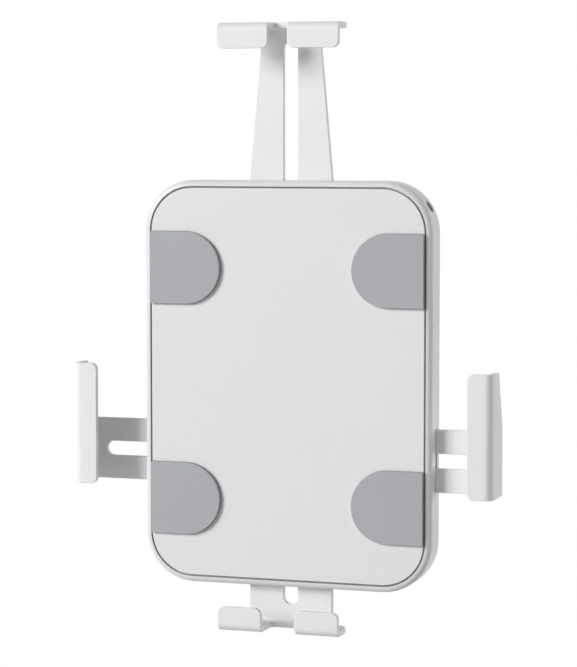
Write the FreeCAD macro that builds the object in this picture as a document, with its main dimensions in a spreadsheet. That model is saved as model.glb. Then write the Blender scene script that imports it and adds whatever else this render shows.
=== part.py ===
import FreeCAD, Part
import math
import os
import re
import Sketcher

# Lockable wall mount for tablets.
# +Z is up, the front faces -Y, and the origin is on the wall, behind the middle of the housing.
# "Depth" always means the distance from the wall towards the front, so y = -depth.
# A moulded housing hangs on a folded steel bracket. Four folded steel arms slide in slits of the
# housing, and each one is held by a screw through its slot. A set screw in the upper right corner
# locks the housing to the bracket.

SIZES = {
    # Housing outline
    "housing_width": 130,  # outside width of both shells
    "housing_height": 176,  # outside height of both shells
    "housing_corner": 22,  # outside corner radius
    "frame_wall": 2.4,  # wall of the front frame
    "rim_width": 2.6,  # visible rim around the cover
    "rim_round": 2.4,  # round-over of the rim's front edge
    "rear_edge_round": 1,  # round-over of the rear shell's back edge
    "cover_gap": 0.7,  # gap between rim and cover
    "cover_edge_round": 0.3,  # softened front edge of the cover
    # Depths, from the wall outwards
    "bracket_thickness": 2,  # steel of the wall bracket
    "hang_gap": 2.3,  # room behind the housing floor for screw heads
    "skirt_depth": 1.8,  # how far the side wall reaches behind the floor
    "floor_thickness": 2,  # floor of the rear shell
    "sheet": 2.5,  # steel of the four arms
    "arm_play": 0.2,  # play of an arm in its slit
    "frame_depth": 6.8,  # depth of the front frame, from the parting line to the cover's face
    "cover_thickness": 1.6,  # cover plate
    "web_thickness": 1.6,  # web of the front frame that carries the cover
    "tongue_thickness": 0.9,  # tongue of the rear shell inside the front frame
    "tongue_height": 1.4,  # height of that tongue
    "tongue_play": 0.1,  # clearance around the tongue
    "pad_recess": 0.8,  # how deep a grip pad sits in the cover
    "pad_proud": 1.8,  # how far a grip pad stands out of the cover
    "bay_depth": 7.4,  # room for the tablet between pads and lips
    # Grip pads
    "pad_length": 32,  # pad, from the cover's side edge to its round end
    "pad_height": 31.6,  # pad height, twice the radius of its round end
    "pad_top_inset": 38,  # middle of the upper pads below the housing's top
    "pad_bottom_inset": 37,  # middle of the lower pads above the housing's bottom
    "pad_play": 0.1,  # clearance of a pad in its recess
    "pad_edge_round": 0.25,  # softened edge of a pad
    # Hooks shared by the four arms
    "bend_inside": 1,  # inside radius of every fold
    "slot_width": 6.4,  # adjustment slot of an arm
    "lip_corner": 2.8,  # corner radius of a lip
    "head_width": 54.3,  # width of the upper and lower hooks
    "head_depth": 17.2,  # depth of the ears of those hooks
    "ear_corner": 6.5,  # rear corner radius of an ear
    "notch_corner": 2.5,  # corner radius at the bottom of a notch
    "arm_tail": 6.5,  # metal behind the inner end of a slot
    "slot_reserve": 0.6,  # play of the clamp screw at the slot's inner end
    # Upper arm
    "top_extension": 64.6,  # inner face of the upper hook above the housing
    "top_lip": 11,  # height of the upper lips
    "top_arm_width": 37.5,  # upper arm at the housing
    "top_tip_width": 25.9,  # upper arm at its hook
    "top_notch": 8.7,  # width of the notch in the upper hook
    "top_notch_depth": 8.7,  # depth of that notch
    "top_slot_margin": 5,  # metal between slot and upper hook
    "top_clamp_inset": 9.5,  # upper clamp screw below the housing's top
    # Lower arm
    "bottom_extension": 16,  # inner face of the lower hook below the housing
    "bottom_lip": 10.6,  # height of the lower lips
    "bottom_arm_width": 37.6,  # lower arm
    "bottom_notch": 15.2,  # width of the notch for the charging cable
    "bottom_notch_depth": 15.3,  # depth of that notch
    "bottom_slot_margin": 7.3,  # metal between slot and lower hook
    "bottom_clamp_inset": 10,  # lower clamp screw above the housing's bottom
    # Side arms
    "side_extension": 26.8,  # inner face of a side hook beside the housing
    "side_lip": 11,  # width of a side lip
    "side_arm_width": 27,  # height of a side arm
    "side_arm_level": 31.2,  # middle of a side arm below the housing's middle
    "side_hook_top": 8.2,  # top of a side hook above the middle
    "side_hook_top_depth": 11.6,  # depth of a side hook at its top
    "side_slot_margin": 5.8,  # metal between slot and side hook
    "side_clamp_inset": 9.5,  # side clamp screws from the housing's sides
    # Clamps inside the housing
    "clamp_screw": 5,  # thread of a clamp screw
    "clamp_head": 10,  # head of a clamp screw
    "clamp_head_height": 1.8,  # height of that head
    "clamp_head_round": 0.6,  # round edge of that head
    "clamp_key": 3,  # hexagon socket of a clamp screw
    "clamp_key_depth": 2.4,  # depth of that socket
    "clamp_plate": 12,  # side of a square clamp plate
    "clamp_plate_thickness": 3,  # thickness of a clamp plate
    "clamp_plate_play": 0.1,  # clearance between clamp plate and arm
    "screw_play": 0.05,  # radial clearance of a screw in its thread
    "hole_play": 0.2,  # radial clearance of a screw in a plain hole
    "guide_play": 0.2,  # clearance of a clamp plate in its guide
    "guide_wall": 1.5,  # wall of that guide
    "guide_height": 3,  # height of that guide
    "rail_thickness": 2,  # rails that lead an arm
    "rail_length": 22,  # length of a rail
    # Screws that join the two shells
    "shell_screw": 2.8,  # shank of a shell screw
    "shell_screw_head": 5.4,  # head of a shell screw
    "shell_head_height": 1.5,  # height of that head
    "shell_key": 2,  # hexagon socket of a shell screw
    "shell_key_depth": 1,  # depth of that socket
    "shell_screw_grip": 6,  # how far a shell screw reaches into its boss
    "boss": 6.6,  # boss for a shell screw
    "boss_end_inset": 9,  # end bosses from the housing's top and bottom
    "boss_corner_inset": 31,  # end bosses from the housing's sides
    "boss_side_inset": 10.5,  # side bosses from the housing's sides
    "boss_side_level": 8,  # side bosses above the middle
    # Pins of the cover and ribs of the front frame
    "pin": 4,  # pins on the back of the cover
    "pin_length": 2.2,  # length of a pin
    "pin_side_inset": 29,  # pins from the housing's sides
    "pin_end_inset": 26,  # pins from the housing's top and bottom
    "rib": 1.6,  # ribs behind the web
    "rib_height": 2.6,  # height of those ribs
    "rib_side_inset": 41,  # upright ribs from the housing's sides
    "rib_end_inset": 28,  # level ribs from the housing's top and bottom
    # Wall bracket
    "wall_hole_spacing": 75,  # square pattern of the wall holes
    "wall_hole": 5.2,  # wall holes
    "bracket_side_margin": 8.5,  # plate beside the wall holes
    "bracket_top_margin": 24.5,  # plate above the wall holes
    "bracket_bottom_margin": 28.5,  # plate below the wall holes
    "bracket_corner": 6,  # corner radius of the bracket plate
    "hook_inset": 7.5,  # hooks of the bracket, inside the columns of wall holes
    "hook_upper_drop": 7.5,  # seat of the upper hooks, below the upper wall holes
    "hook_lower_drop": 14.5,  # seat of the lower hooks, below the lower wall holes
    "hook_neck": 6,  # height of a hook's neck
    "hook_finger": 5,  # how far a hook stands up in front of the floor
    "hook_finger_depth": 2.5,  # thickness of that finger
    "hook_play": 0.1,  # clearance of a hook before and behind the floor
    "window_play": 0.5,  # clearance beside a hook in its window
    "lift": 6,  # how far the housing is lifted to come off its hooks
    # Lock in the upper right corner
    "lock_angle": 31,  # direction of the lock screw above the horizontal
    "lock_depth": 8.5,  # lock screw from the wall
    "lock_hole": 5.4,  # key hole in the housing's corner
    "lock_screw": 4,  # thread of the lock screw
    "lock_screw_length": 11.5,  # length of the lock screw
    "lock_key": 2,  # hexagon socket of the lock screw
    "lock_key_depth": 3,  # depth of that socket
    "lock_start": 3.2,  # tip of the lock screw, along its axis from the corner's centre
    "lock_block_start": 8,  # inner face of the lock block, measured the same way
    "lock_block_length": 7,  # lock block along the screw
    "lock_block_width": 10,  # lock block across the screw
    "lock_block_play": 0.1,  # clearance around the lock block
    "cheek": 1.6,  # cheeks that hold the lock block
    "lock_ear": 8,  # width of the bracket's locking ear
    "lock_ear_start": 3.6,  # inner face of that ear, along the screw's axis
    "lock_ear_height": 12.2,  # front end of that ear from the wall
    "lock_ear_hole": 4.6,  # hole of that ear
    "ear_window_play": 1.5,  # room around the ear in the floor
}

doc = FreeCAD.newDocument("TabletWallMount")
sheet = doc.addObject("Spreadsheet::Sheet", "Sizes")
for row, (name, size) in enumerate(SIZES.items(), start=1):
    sheet.set(f"A{row}", name)
    sheet.set(f"B{row}", str(size))
    sheet.setAlias(f"B{row}", name)
doc.recompute()

# Levels and places that several pieces share, as formulas of the sizes above.
FLOOR_BACK = "(bracket_thickness + hang_gap)"
FLOOR_FRONT = f"({FLOOR_BACK} + floor_thickness)"
ARM_BACK = f"({FLOOR_FRONT} + arm_play)"
ARM_FRONT = f"({ARM_BACK} + sheet)"
PARTING = f"({ARM_FRONT} + arm_play)"
COVER_FRONT = f"({PARTING} + frame_depth)"
WEB_FRONT = f"({COVER_FRONT} - cover_thickness)"
WEB_BACK = f"({WEB_FRONT} - web_thickness)"
HOUSING_BACK = f"({FLOOR_BACK} - skirt_depth)"
LIP_BACK = f"({COVER_FRONT} + pad_proud + bay_depth)"
LIP_FRONT = f"({LIP_BACK} + sheet)"
CLAMP_PLATE_BACK = f"({ARM_FRONT} + clamp_plate_play)"
HALF_WIDTH = "(housing_width / 2)"
HALF_HEIGHT = "(housing_height / 2)"
COVER_HALF_WIDTH = f"({HALF_WIDTH} - rim_width - cover_gap)"
SIDE_SLIT_WIDTH = "(side_arm_width + 2 * arm_play)"
REAR_WALL = "(frame_wall + tongue_play + tongue_thickness)"
BEND_OUTSIDE = "(bend_inside + sheet)"
LOCK_CENTRE_X = f"({HALF_WIDTH} - housing_corner)"
LOCK_CENTRE_Z = f"({HALF_HEIGHT} - housing_corner)"

TOP_REACH = f"({HALF_HEIGHT} + top_extension)"
BOTTOM_REACH = f"({HALF_HEIGHT} + bottom_extension)"
SIDE_REACH = f"({HALF_WIDTH} + side_extension)"
TOP_CLAMP = f"({HALF_HEIGHT} - top_clamp_inset)"
BOTTOM_CLAMP = f"({HALF_HEIGHT} - bottom_clamp_inset)"
SIDE_CLAMP = f"({HALF_WIDTH} - side_clamp_inset)"
BOSS_X = f"({HALF_WIDTH} - boss_corner_inset)"
BOSS_Z = f"({HALF_HEIGHT} - boss_end_inset)"
SIDE_BOSS_X = f"({HALF_WIDTH} - boss_side_inset)"
PIN_X = f"({HALF_WIDTH} - pin_side_inset)"
PIN_Z = f"({HALF_HEIGHT} - pin_end_inset)"
RIB_X = f"({HALF_WIDTH} - rib_side_inset)"
RIB_Z = f"({HALF_HEIGHT} - rib_end_inset)"
BRACKET_HALF_WIDTH = "(wall_hole_spacing / 2 + bracket_side_margin)"
BRACKET_TOP = "(wall_hole_spacing / 2 + bracket_top_margin)"
BRACKET_BOTTOM = "(wall_hole_spacing / 2 + bracket_bottom_margin)"
HOOK_X = "(wall_hole_spacing / 2 - hook_inset)"

CLAMPS = {
    "top": ("0", TOP_CLAMP),
    "bottom": ("0", f"-{BOTTOM_CLAMP}"),
    "left": (f"-{SIDE_CLAMP}", "-side_arm_level"),
    "right": (SIDE_CLAMP, "-side_arm_level"),
}
SHELL_SCREWS = [
    (BOSS_X, BOSS_Z),
    (f"-{BOSS_X}", BOSS_Z),
    (BOSS_X, f"-{BOSS_Z}"),
    (f"-{BOSS_X}", f"-{BOSS_Z}"),
    (SIDE_BOSS_X, "boss_side_level"),
    (f"-{SIDE_BOSS_X}", "boss_side_level"),
]
COVER_PINS = [
    (PIN_X, PIN_Z),
    (f"-{PIN_X}", PIN_Z),
    (PIN_X, f"-{PIN_Z}"),
    (f"-{PIN_X}", f"-{PIN_Z}"),
]
SIDES = {"left": "-1", "right": "1"}
PAD_LEVELS = {
    "upper": f"({HALF_HEIGHT} - pad_top_inset)",
    "lower": f"-({HALF_HEIGHT} - pad_bottom_inset)",
}
HOOK_LEVELS = {
    "upper": "(wall_hole_spacing / 2 - hook_upper_drop)",
    "lower": "-(wall_hole_spacing / 2 + hook_lower_drop)",
}


def formula(text):
    """Turns a formula in plain size names into one that the document understands."""
    def refer(match):
        word = match.group(0)
        return "Sizes." + word if word in SIZES else word
    return re.sub(r"[a-z_]+", refer, text)


def number(text):
    """The present value of a formula."""
    return float(sheet.evalExpression(formula(text)))


def bind(item, field, text):
    """Binds a field of an object to a formula of the sizes."""
    item.setExpression(field, formula(text))


def along_lock(distance, across="0"):
    """Place in the front view of a point on or beside the lock screw's axis."""
    x = f"({LOCK_CENTRE_X} + ({distance}) * cos(lock_angle) - ({across}) * sin(lock_angle))"
    z = f"({LOCK_CENTRE_Z} + ({distance}) * sin(lock_angle) + ({across}) * cos(lock_angle))"
    return x, z


# Sketches

def new_body(name):
    """An empty body with its own label, which also names its file."""
    body = doc.addObject("PartDesign::Body", name)
    body.Label = name
    return body


def new_sketch(body, plane, name, offset):
    """A sketch on one of the body's own origin planes, moved along the plane's normal.

    On the XZ plane the normal points to the front, so the offset is a depth.
    """
    sketch = body.newObject("Sketcher::SketchObject", name)
    support = next(item for item in body.Origin.OriginFeatures if item.Role == plane)
    sketch.AttachmentSupport = [(support, "")]
    sketch.MapMode = "FlatFace"
    bind(sketch, "AttachmentOffset.Base.z", offset)
    return sketch


def fix(sketch, kind, geometry, point, text):
    """Sets the distance of one point of the sketch from its origin, along one direction."""
    place = sketch.addConstraint(Sketcher.Constraint(kind, -1, 1, geometry, point, number(text)))
    sketch.setExpression(f"Constraints[{place}]", formula(text))


def fix_point(sketch, geometry, point, x, y):
    """Sets both coordinates of one point of the sketch."""
    fix(sketch, "DistanceX", geometry, point, x)
    fix(sketch, "DistanceY", geometry, point, y)


def fix_radius(sketch, geometry, text):
    """Sets the radius of a circle or arc."""
    place = sketch.addConstraint(Sketcher.Constraint("Radius", geometry, number(text)))
    sketch.setExpression(f"Constraints[{place}]", formula(text))


def draw_line(sketch, start, end):
    """Adds a line between two points given as numbers."""
    return sketch.addGeometry(Part.LineSegment(FreeCAD.Vector(*start, 0), FreeCAD.Vector(*end, 0)))


def draw_arc(sketch, centre, radius, start_degrees, end_degrees):
    """Adds an arc that runs anticlockwise between two directions."""
    circle = Part.Circle(FreeCAD.Vector(*centre, 0), FreeCAD.Vector(0, 0, 1), radius)
    arc = Part.ArcOfCircle(circle, math.radians(start_degrees), math.radians(end_degrees))
    return sketch.addGeometry(arc)


def draw_circle(sketch, centre, diameter):
    """Adds a circle whose centre and diameter follow formulas."""
    x, y = centre
    radius = f"({diameter}) / 2"
    middle = FreeCAD.Vector(number(x), number(y), 0)
    circle = sketch.addGeometry(Part.Circle(middle, FreeCAD.Vector(0, 0, 1), number(radius)))
    fix_point(sketch, circle, 3, x, y)
    fix_radius(sketch, circle, radius)


def draw_polygon(sketch, corners):
    """Adds a closed outline of straight lines whose corners follow formulas."""
    places = [(number(x), number(y)) for x, y in corners]
    count = len(corners)
    lines = [draw_line(sketch, places[i], places[(i + 1) % count]) for i in range(count)]
    for i, line in enumerate(lines):
        following = lines[(i + 1) % count]
        sketch.addConstraint(Sketcher.Constraint("Coincident", line, 2, following, 1))
        fix_point(sketch, line, 1, *corners[i])


def draw_rectangle(sketch, left, right, low, high):
    """Adds an upright rectangle."""
    draw_polygon(sketch, [(left, low), (right, low), (right, high), (left, high)])


def draw_rounded(sketch, left, right, low, high, radius):
    """Adds an upright rectangle with round corners."""
    x1, x2, y1, y2, r = (number(text) for text in (left, right, low, high, radius))
    bottom = draw_line(sketch, (x1 + r, y1), (x2 - r, y1))
    lower_right = draw_arc(sketch, (x2 - r, y1 + r), r, 270, 360)
    right_side = draw_line(sketch, (x2, y1 + r), (x2, y2 - r))
    upper_right = draw_arc(sketch, (x2 - r, y2 - r), r, 0, 90)
    top = draw_line(sketch, (x2 - r, y2), (x1 + r, y2))
    upper_left = draw_arc(sketch, (x1 + r, y2 - r), r, 90, 180)
    left_side = draw_line(sketch, (x1, y2 - r), (x1, y1 + r))
    lower_left = draw_arc(sketch, (x1 + r, y1 + r), r, 180, 270)
    chain = [bottom, lower_right, right_side, upper_right, top, upper_left, left_side, lower_left]
    for i, piece in enumerate(chain):
        following = chain[(i + 1) % len(chain)]
        sketch.addConstraint(Sketcher.Constraint("Tangent", piece, 2, following, 1))
    for level in (bottom, top):
        sketch.addConstraint(Sketcher.Constraint("Horizontal", level))
    for upright in (left_side, right_side):
        sketch.addConstraint(Sketcher.Constraint("Vertical", upright))
    for arc in (upper_right, upper_left, lower_left):
        sketch.addConstraint(Sketcher.Constraint("Equal", lower_right, arc))
    fix_radius(sketch, lower_right, radius)
    fix(sketch, "DistanceY", bottom, 1, low)
    fix(sketch, "DistanceY", top, 1, high)
    fix(sketch, "DistanceX", left_side, 1, left)
    fix(sketch, "DistanceX", right_side, 1, right)


def draw_slot(sketch, upright, first, last, middle, width):
    """Adds a slot with round ends; first and last are the centres of its ends."""
    start, end, centre, r = (number(text) for text in (first, last, middle, f"({width}) / 2"))
    if upright:
        one = draw_line(sketch, (centre + r, start), (centre + r, end))
        far_end = draw_arc(sketch, (centre, end), r, 0, 180)
        two = draw_line(sketch, (centre - r, end), (centre - r, start))
        near_end = draw_arc(sketch, (centre, start), r, 180, 360)
    else:
        one = draw_line(sketch, (start, centre - r), (end, centre - r))
        far_end = draw_arc(sketch, (end, centre), r, 270, 450)
        two = draw_line(sketch, (end, centre + r), (start, centre + r))
        near_end = draw_arc(sketch, (start, centre), r, 90, 270)
    chain = [one, far_end, two, near_end]
    for i, piece in enumerate(chain):
        sketch.addConstraint(Sketcher.Constraint("Tangent", piece, 2, chain[(i + 1) % 4], 1))
    for side in (one, two):
        sketch.addConstraint(Sketcher.Constraint("Vertical" if upright else "Horizontal", side))
    fix_radius(sketch, far_end, f"({width}) / 2")
    if upright:
        fix_point(sketch, near_end, 3, middle, first)
        fix(sketch, "DistanceY", far_end, 3, last)
    else:
        fix_point(sketch, near_end, 3, first, middle)
        fix(sketch, "DistanceX", far_end, 3, last)


def draw_pad_outline(sketch, side, level, inset):
    """Adds the outline of a grip pad: straight at the cover's edge, half round at its inner end."""
    outer = f"{side} * ({COVER_HALF_WIDTH} - {inset})"
    centre = f"{side} * ({COVER_HALF_WIDTH} - pad_length + pad_height / 2)"
    radius = f"(pad_height / 2 - {inset})"
    x, cx, cy, r = (number(text) for text in (outer, centre, level, radius))
    if x > cx:
        arc = draw_arc(sketch, (cx, cy), r, 90, 270)
        lower = draw_line(sketch, (cx, cy - r), (x, cy - r))
        edge = draw_line(sketch, (x, cy - r), (x, cy + r))
        upper = draw_line(sketch, (x, cy + r), (cx, cy + r))
        chain = [arc, lower, edge, upper]
    else:
        arc = draw_arc(sketch, (cx, cy), r, -90, 90)
        upper = draw_line(sketch, (cx, cy + r), (x, cy + r))
        edge = draw_line(sketch, (x, cy + r), (x, cy - r))
        lower = draw_line(sketch, (x, cy - r), (cx, cy - r))
        chain = [arc, upper, edge, lower]
    kinds = ["Tangent", "Coincident", "Coincident", "Tangent"]
    for i, kind in enumerate(kinds):
        sketch.addConstraint(Sketcher.Constraint(kind, chain[i], 2, chain[(i + 1) % 4], 1))
    for level_line in (lower, upper):
        sketch.addConstraint(Sketcher.Constraint("Horizontal", level_line))
    sketch.addConstraint(Sketcher.Constraint("Vertical", edge))
    fix_radius(sketch, arc, radius)
    fix_point(sketch, arc, 3, centre, level)
    fix(sketch, "DistanceX", edge, 1, outer)


def draw_hexagon(sketch, centre, width):
    """Adds a hexagon, given across its flats."""
    x, y = centre
    corners = []
    for step in range(6):
        angle = 60 * step
        reach = f"({width}) / 2 / cos(30)"
        corners.append((f"{x} + {reach} * cos({angle})", f"{y} + {reach} * sin({angle})"))
    draw_polygon(sketch, corners)


# Features

def add_pad(body, sketch, length, name, backwards=False, both_ways=False):
    """Adds material along the sketch's normal, or against it."""
    pad = body.newObject("PartDesign::Pad", name)
    pad.Profile = sketch
    pad.Reversed = backwards
    if both_ways:
        pad.SideType = "Symmetric"
    bind(pad, "Length", length)
    return pad


def cut_pocket(body, sketch, depth, name, forwards=False, both_ways=False):
    """Cuts against the sketch's normal, or along it, and makes sure that something was cut."""
    doc.recompute()
    before = body.Shape.Volume
    pocket = body.newObject("PartDesign::Pocket", name)
    pocket.Profile = sketch
    pocket.Reversed = forwards
    if both_ways:
        pocket.SideType = "Symmetric"
    bind(pocket, "Length", depth)
    doc.recompute()
    if not body.Shape.Volume < before:
        raise RuntimeError(f"{body.Label}: {name} cuts nothing")
    return pocket


def cut_round(body, name, diameter, length, x, y, z, tilt):
    """Cuts a round hole that starts at a point and runs along the lock screw's direction."""
    doc.recompute()
    before = body.Shape.Volume
    hole = body.newObject("PartDesign::SubtractiveCylinder", name)
    bind(hole, "Radius", f"({diameter}) / 2")
    bind(hole, "Height", length)
    hole.Placement = FreeCAD.Placement(
        FreeCAD.Vector(number(x), number(y), number(z)),
        FreeCAD.Rotation(FreeCAD.Vector(0, 1, 0), number(tilt)))
    for axis, text in (("x", x), ("y", y), ("z", z)):
        bind(hole, f"Placement.Base.{axis}", text)
    bind(hole, "Placement.Rotation.Angle", tilt)
    doc.recompute()
    if not body.Shape.Volume < before:
        raise RuntimeError(f"{body.Label}: {name} cuts nothing")
    return hole


def edges_along(feature, axis, spots):
    """Names of the straight edges along one axis that pass through the given spots.

    A spot is a pair of formulas: the other two coordinates, in the order x, y, z.
    """
    doc.recompute()
    others = [i for i in range(3) if i != "xyz".index(axis)]
    wanted = [(number(first), number(second)) for first, second in spots]
    direction = FreeCAD.Vector(*[1.0 if name == axis else 0.0 for name in "xyz"])
    names = []
    for place, edge in enumerate(feature.Shape.Edges):
        if edge.Curve.TypeId != "Part::GeomLine":
            continue
        if abs(abs(edge.Curve.Direction * direction) - 1) > 1e-6:
            continue
        point = edge.Vertexes[0].Point
        if any(abs(point[others[0]] - a) < 0.01 and abs(point[others[1]] - b) < 0.01 for a, b in wanted):
            names.append(f"Edge{place + 1}")
    if not names:
        raise RuntimeError(f"{feature.Label}: no edge along {axis} at {wanted}")
    return names


def edges_at_depth(feature, depth, half_width, half_height):
    """Names of the edges of one upright outline at a depth, picked by their reach from the middle."""
    doc.recompute()
    y = -number(depth)
    reach_x = number(half_width)
    reach_z = number(half_height)
    names = []
    for place, edge in enumerate(feature.Shape.Edges):
        box = edge.BoundBox
        if abs(box.YMin - y) > 0.01 or abs(box.YMax - y) > 0.01:
            continue
        far_x = max(abs(box.XMin), abs(box.XMax))
        far_z = max(abs(box.ZMin), abs(box.ZMax))
        if abs(far_x - reach_x) < 0.01 or abs(far_z - reach_z) < 0.01:
            names.append(f"Edge{place + 1}")
    return names


def round_edges(body, feature, edges, radius, name):
    """Rounds edges of the body's last feature."""
    fillet = body.newObject("PartDesign::Fillet", name)
    fillet.Base = (feature, edges)
    bind(fillet, "Radius", radius)
    return fillet


# Front frame: rim, web and what hangs behind the web

def make_front_frame():
    body = new_body("front_frame")
    outline = new_sketch(body, "XZ_Plane", "FrameOutline", PARTING)
    draw_rounded(outline, f"-{HALF_WIDTH}", HALF_WIDTH, f"-{HALF_HEIGHT}", HALF_HEIGHT, "housing_corner")
    block = add_pad(body, outline, "frame_depth", "FrameBlock")
    rim = edges_at_depth(block, COVER_FRONT, HALF_WIDTH, HALF_HEIGHT)
    round_edges(body, block, rim, "rim_round", "RimRound")

    seat = new_sketch(body, "XZ_Plane", "CoverSeatOutline", COVER_FRONT)
    half_width = f"({HALF_WIDTH} - rim_width)"
    half_height = f"({HALF_HEIGHT} - rim_width)"
    draw_rounded(seat, f"-{half_width}", half_width, f"-{half_height}", half_height,
                 "(housing_corner - rim_width)")
    cut_pocket(body, seat, "cover_thickness", "CoverSeat")

    hollow = new_sketch(body, "XZ_Plane", "FrameHollowOutline", PARTING)
    half_width = f"({HALF_WIDTH} - frame_wall)"
    half_height = f"({HALF_HEIGHT} - frame_wall)"
    draw_rounded(hollow, f"-{half_width}", half_width, f"-{half_height}", half_height,
                 "(housing_corner - frame_wall)")
    cut_pocket(body, hollow, f"{WEB_BACK} - {PARTING}", "FrameHollow", forwards=True)

    ribs = new_sketch(body, "XZ_Plane", "RibOutlines", WEB_BACK)
    for side in SIDES.values():
        draw_rectangle(ribs, f"{side} * {RIB_X} - rib / 2", f"{side} * {RIB_X} + rib / 2",
                       f"-{RIB_Z}", RIB_Z)
    add_pad(body, ribs, "rib_height", "UprightRibs", backwards=True)
    for name, level in (("UpperRib", RIB_Z), ("LowerRib", f"-{RIB_Z}")):
        rib = new_sketch(body, "XZ_Plane", f"{name}Outline", WEB_BACK)
        draw_rectangle(rib, f"-{RIB_X} - rib / 2", f"{RIB_X} + rib / 2",
                       f"{level} - rib / 2", f"{level} + rib / 2")
        add_pad(body, rib, "rib_height", name, backwards=True)

    for name, (x, z) in CLAMPS.items():
        guide = new_sketch(body, "XZ_Plane", f"{name.title()}GuideOutline", WEB_BACK)
        outer = "(clamp_plate / 2 + guide_play + guide_wall)"
        draw_rectangle(guide, f"{x} - {outer}", f"{x} + {outer}", f"{z} - {outer}", f"{z} + {outer}")
        add_pad(body, guide, "guide_height", f"{name.title()}Guide", backwards=True)
        well = new_sketch(body, "XZ_Plane", f"{name.title()}WellOutline", f"{WEB_BACK} - guide_height")
        inner = "(clamp_plate / 2 + guide_play)"
        draw_rectangle(well, f"{x} - {inner}", f"{x} + {inner}", f"{z} - {inner}", f"{z} + {inner}")
        cut_pocket(body, well, "guide_height", f"{name.title()}Well", forwards=True)

    cheek_height = f"({WEB_BACK} - {PARTING} + arm_play)"
    for name, sign in (("Upper", "1"), ("Lower", "-1")):
        near = f"{sign} * (lock_block_width / 2 + lock_block_play)"
        far = f"{sign} * (lock_block_width / 2 + lock_block_play + cheek)"
        end = "(lock_block_start + lock_block_length)"
        cheek = new_sketch(body, "XZ_Plane", f"{name}CheekOutline", WEB_BACK)
        draw_polygon(cheek, [along_lock("lock_block_start", near), along_lock(end, near),
                             along_lock(end, far), along_lock("lock_block_start", far)])
        add_pad(body, cheek, cheek_height, f"{name}Cheek", backwards=True)

    bosses = new_sketch(body, "XZ_Plane", "BossOutlines", WEB_BACK)
    for place in SHELL_SCREWS:
        draw_circle(bosses, place, "boss")
    add_pad(body, bosses, f"{WEB_BACK} - {FLOOR_FRONT}", "Bosses", backwards=True)
    pilots = new_sketch(body, "XZ_Plane", "PilotOutlines", FLOOR_FRONT)
    for place in SHELL_SCREWS:
        draw_circle(pilots, place, "shell_screw + 2 * screw_play")
    cut_pocket(body, pilots, "shell_screw_grip", "PilotHoles", forwards=True)

    pins = new_sketch(body, "XZ_Plane", "PinHoleOutlines", WEB_FRONT)
    for place in COVER_PINS:
        draw_circle(pins, place, "pin + 2 * hole_play")
    cut_pocket(body, pins, "web_thickness", "PinHoles")
    cut_lock_hole(body)
    return body


def cut_lock_hole(body):
    """The key hole runs through the corner wall, half in each shell."""
    x, z = along_lock("lock_block_start + lock_block_length + cheek")
    cut_round(body, "KeyHole", "lock_hole", "housing_corner", x, "-lock_depth", z, "90 - lock_angle")


# Rear shell: side wall, floor, slits for the arms and windows for the bracket

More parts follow.
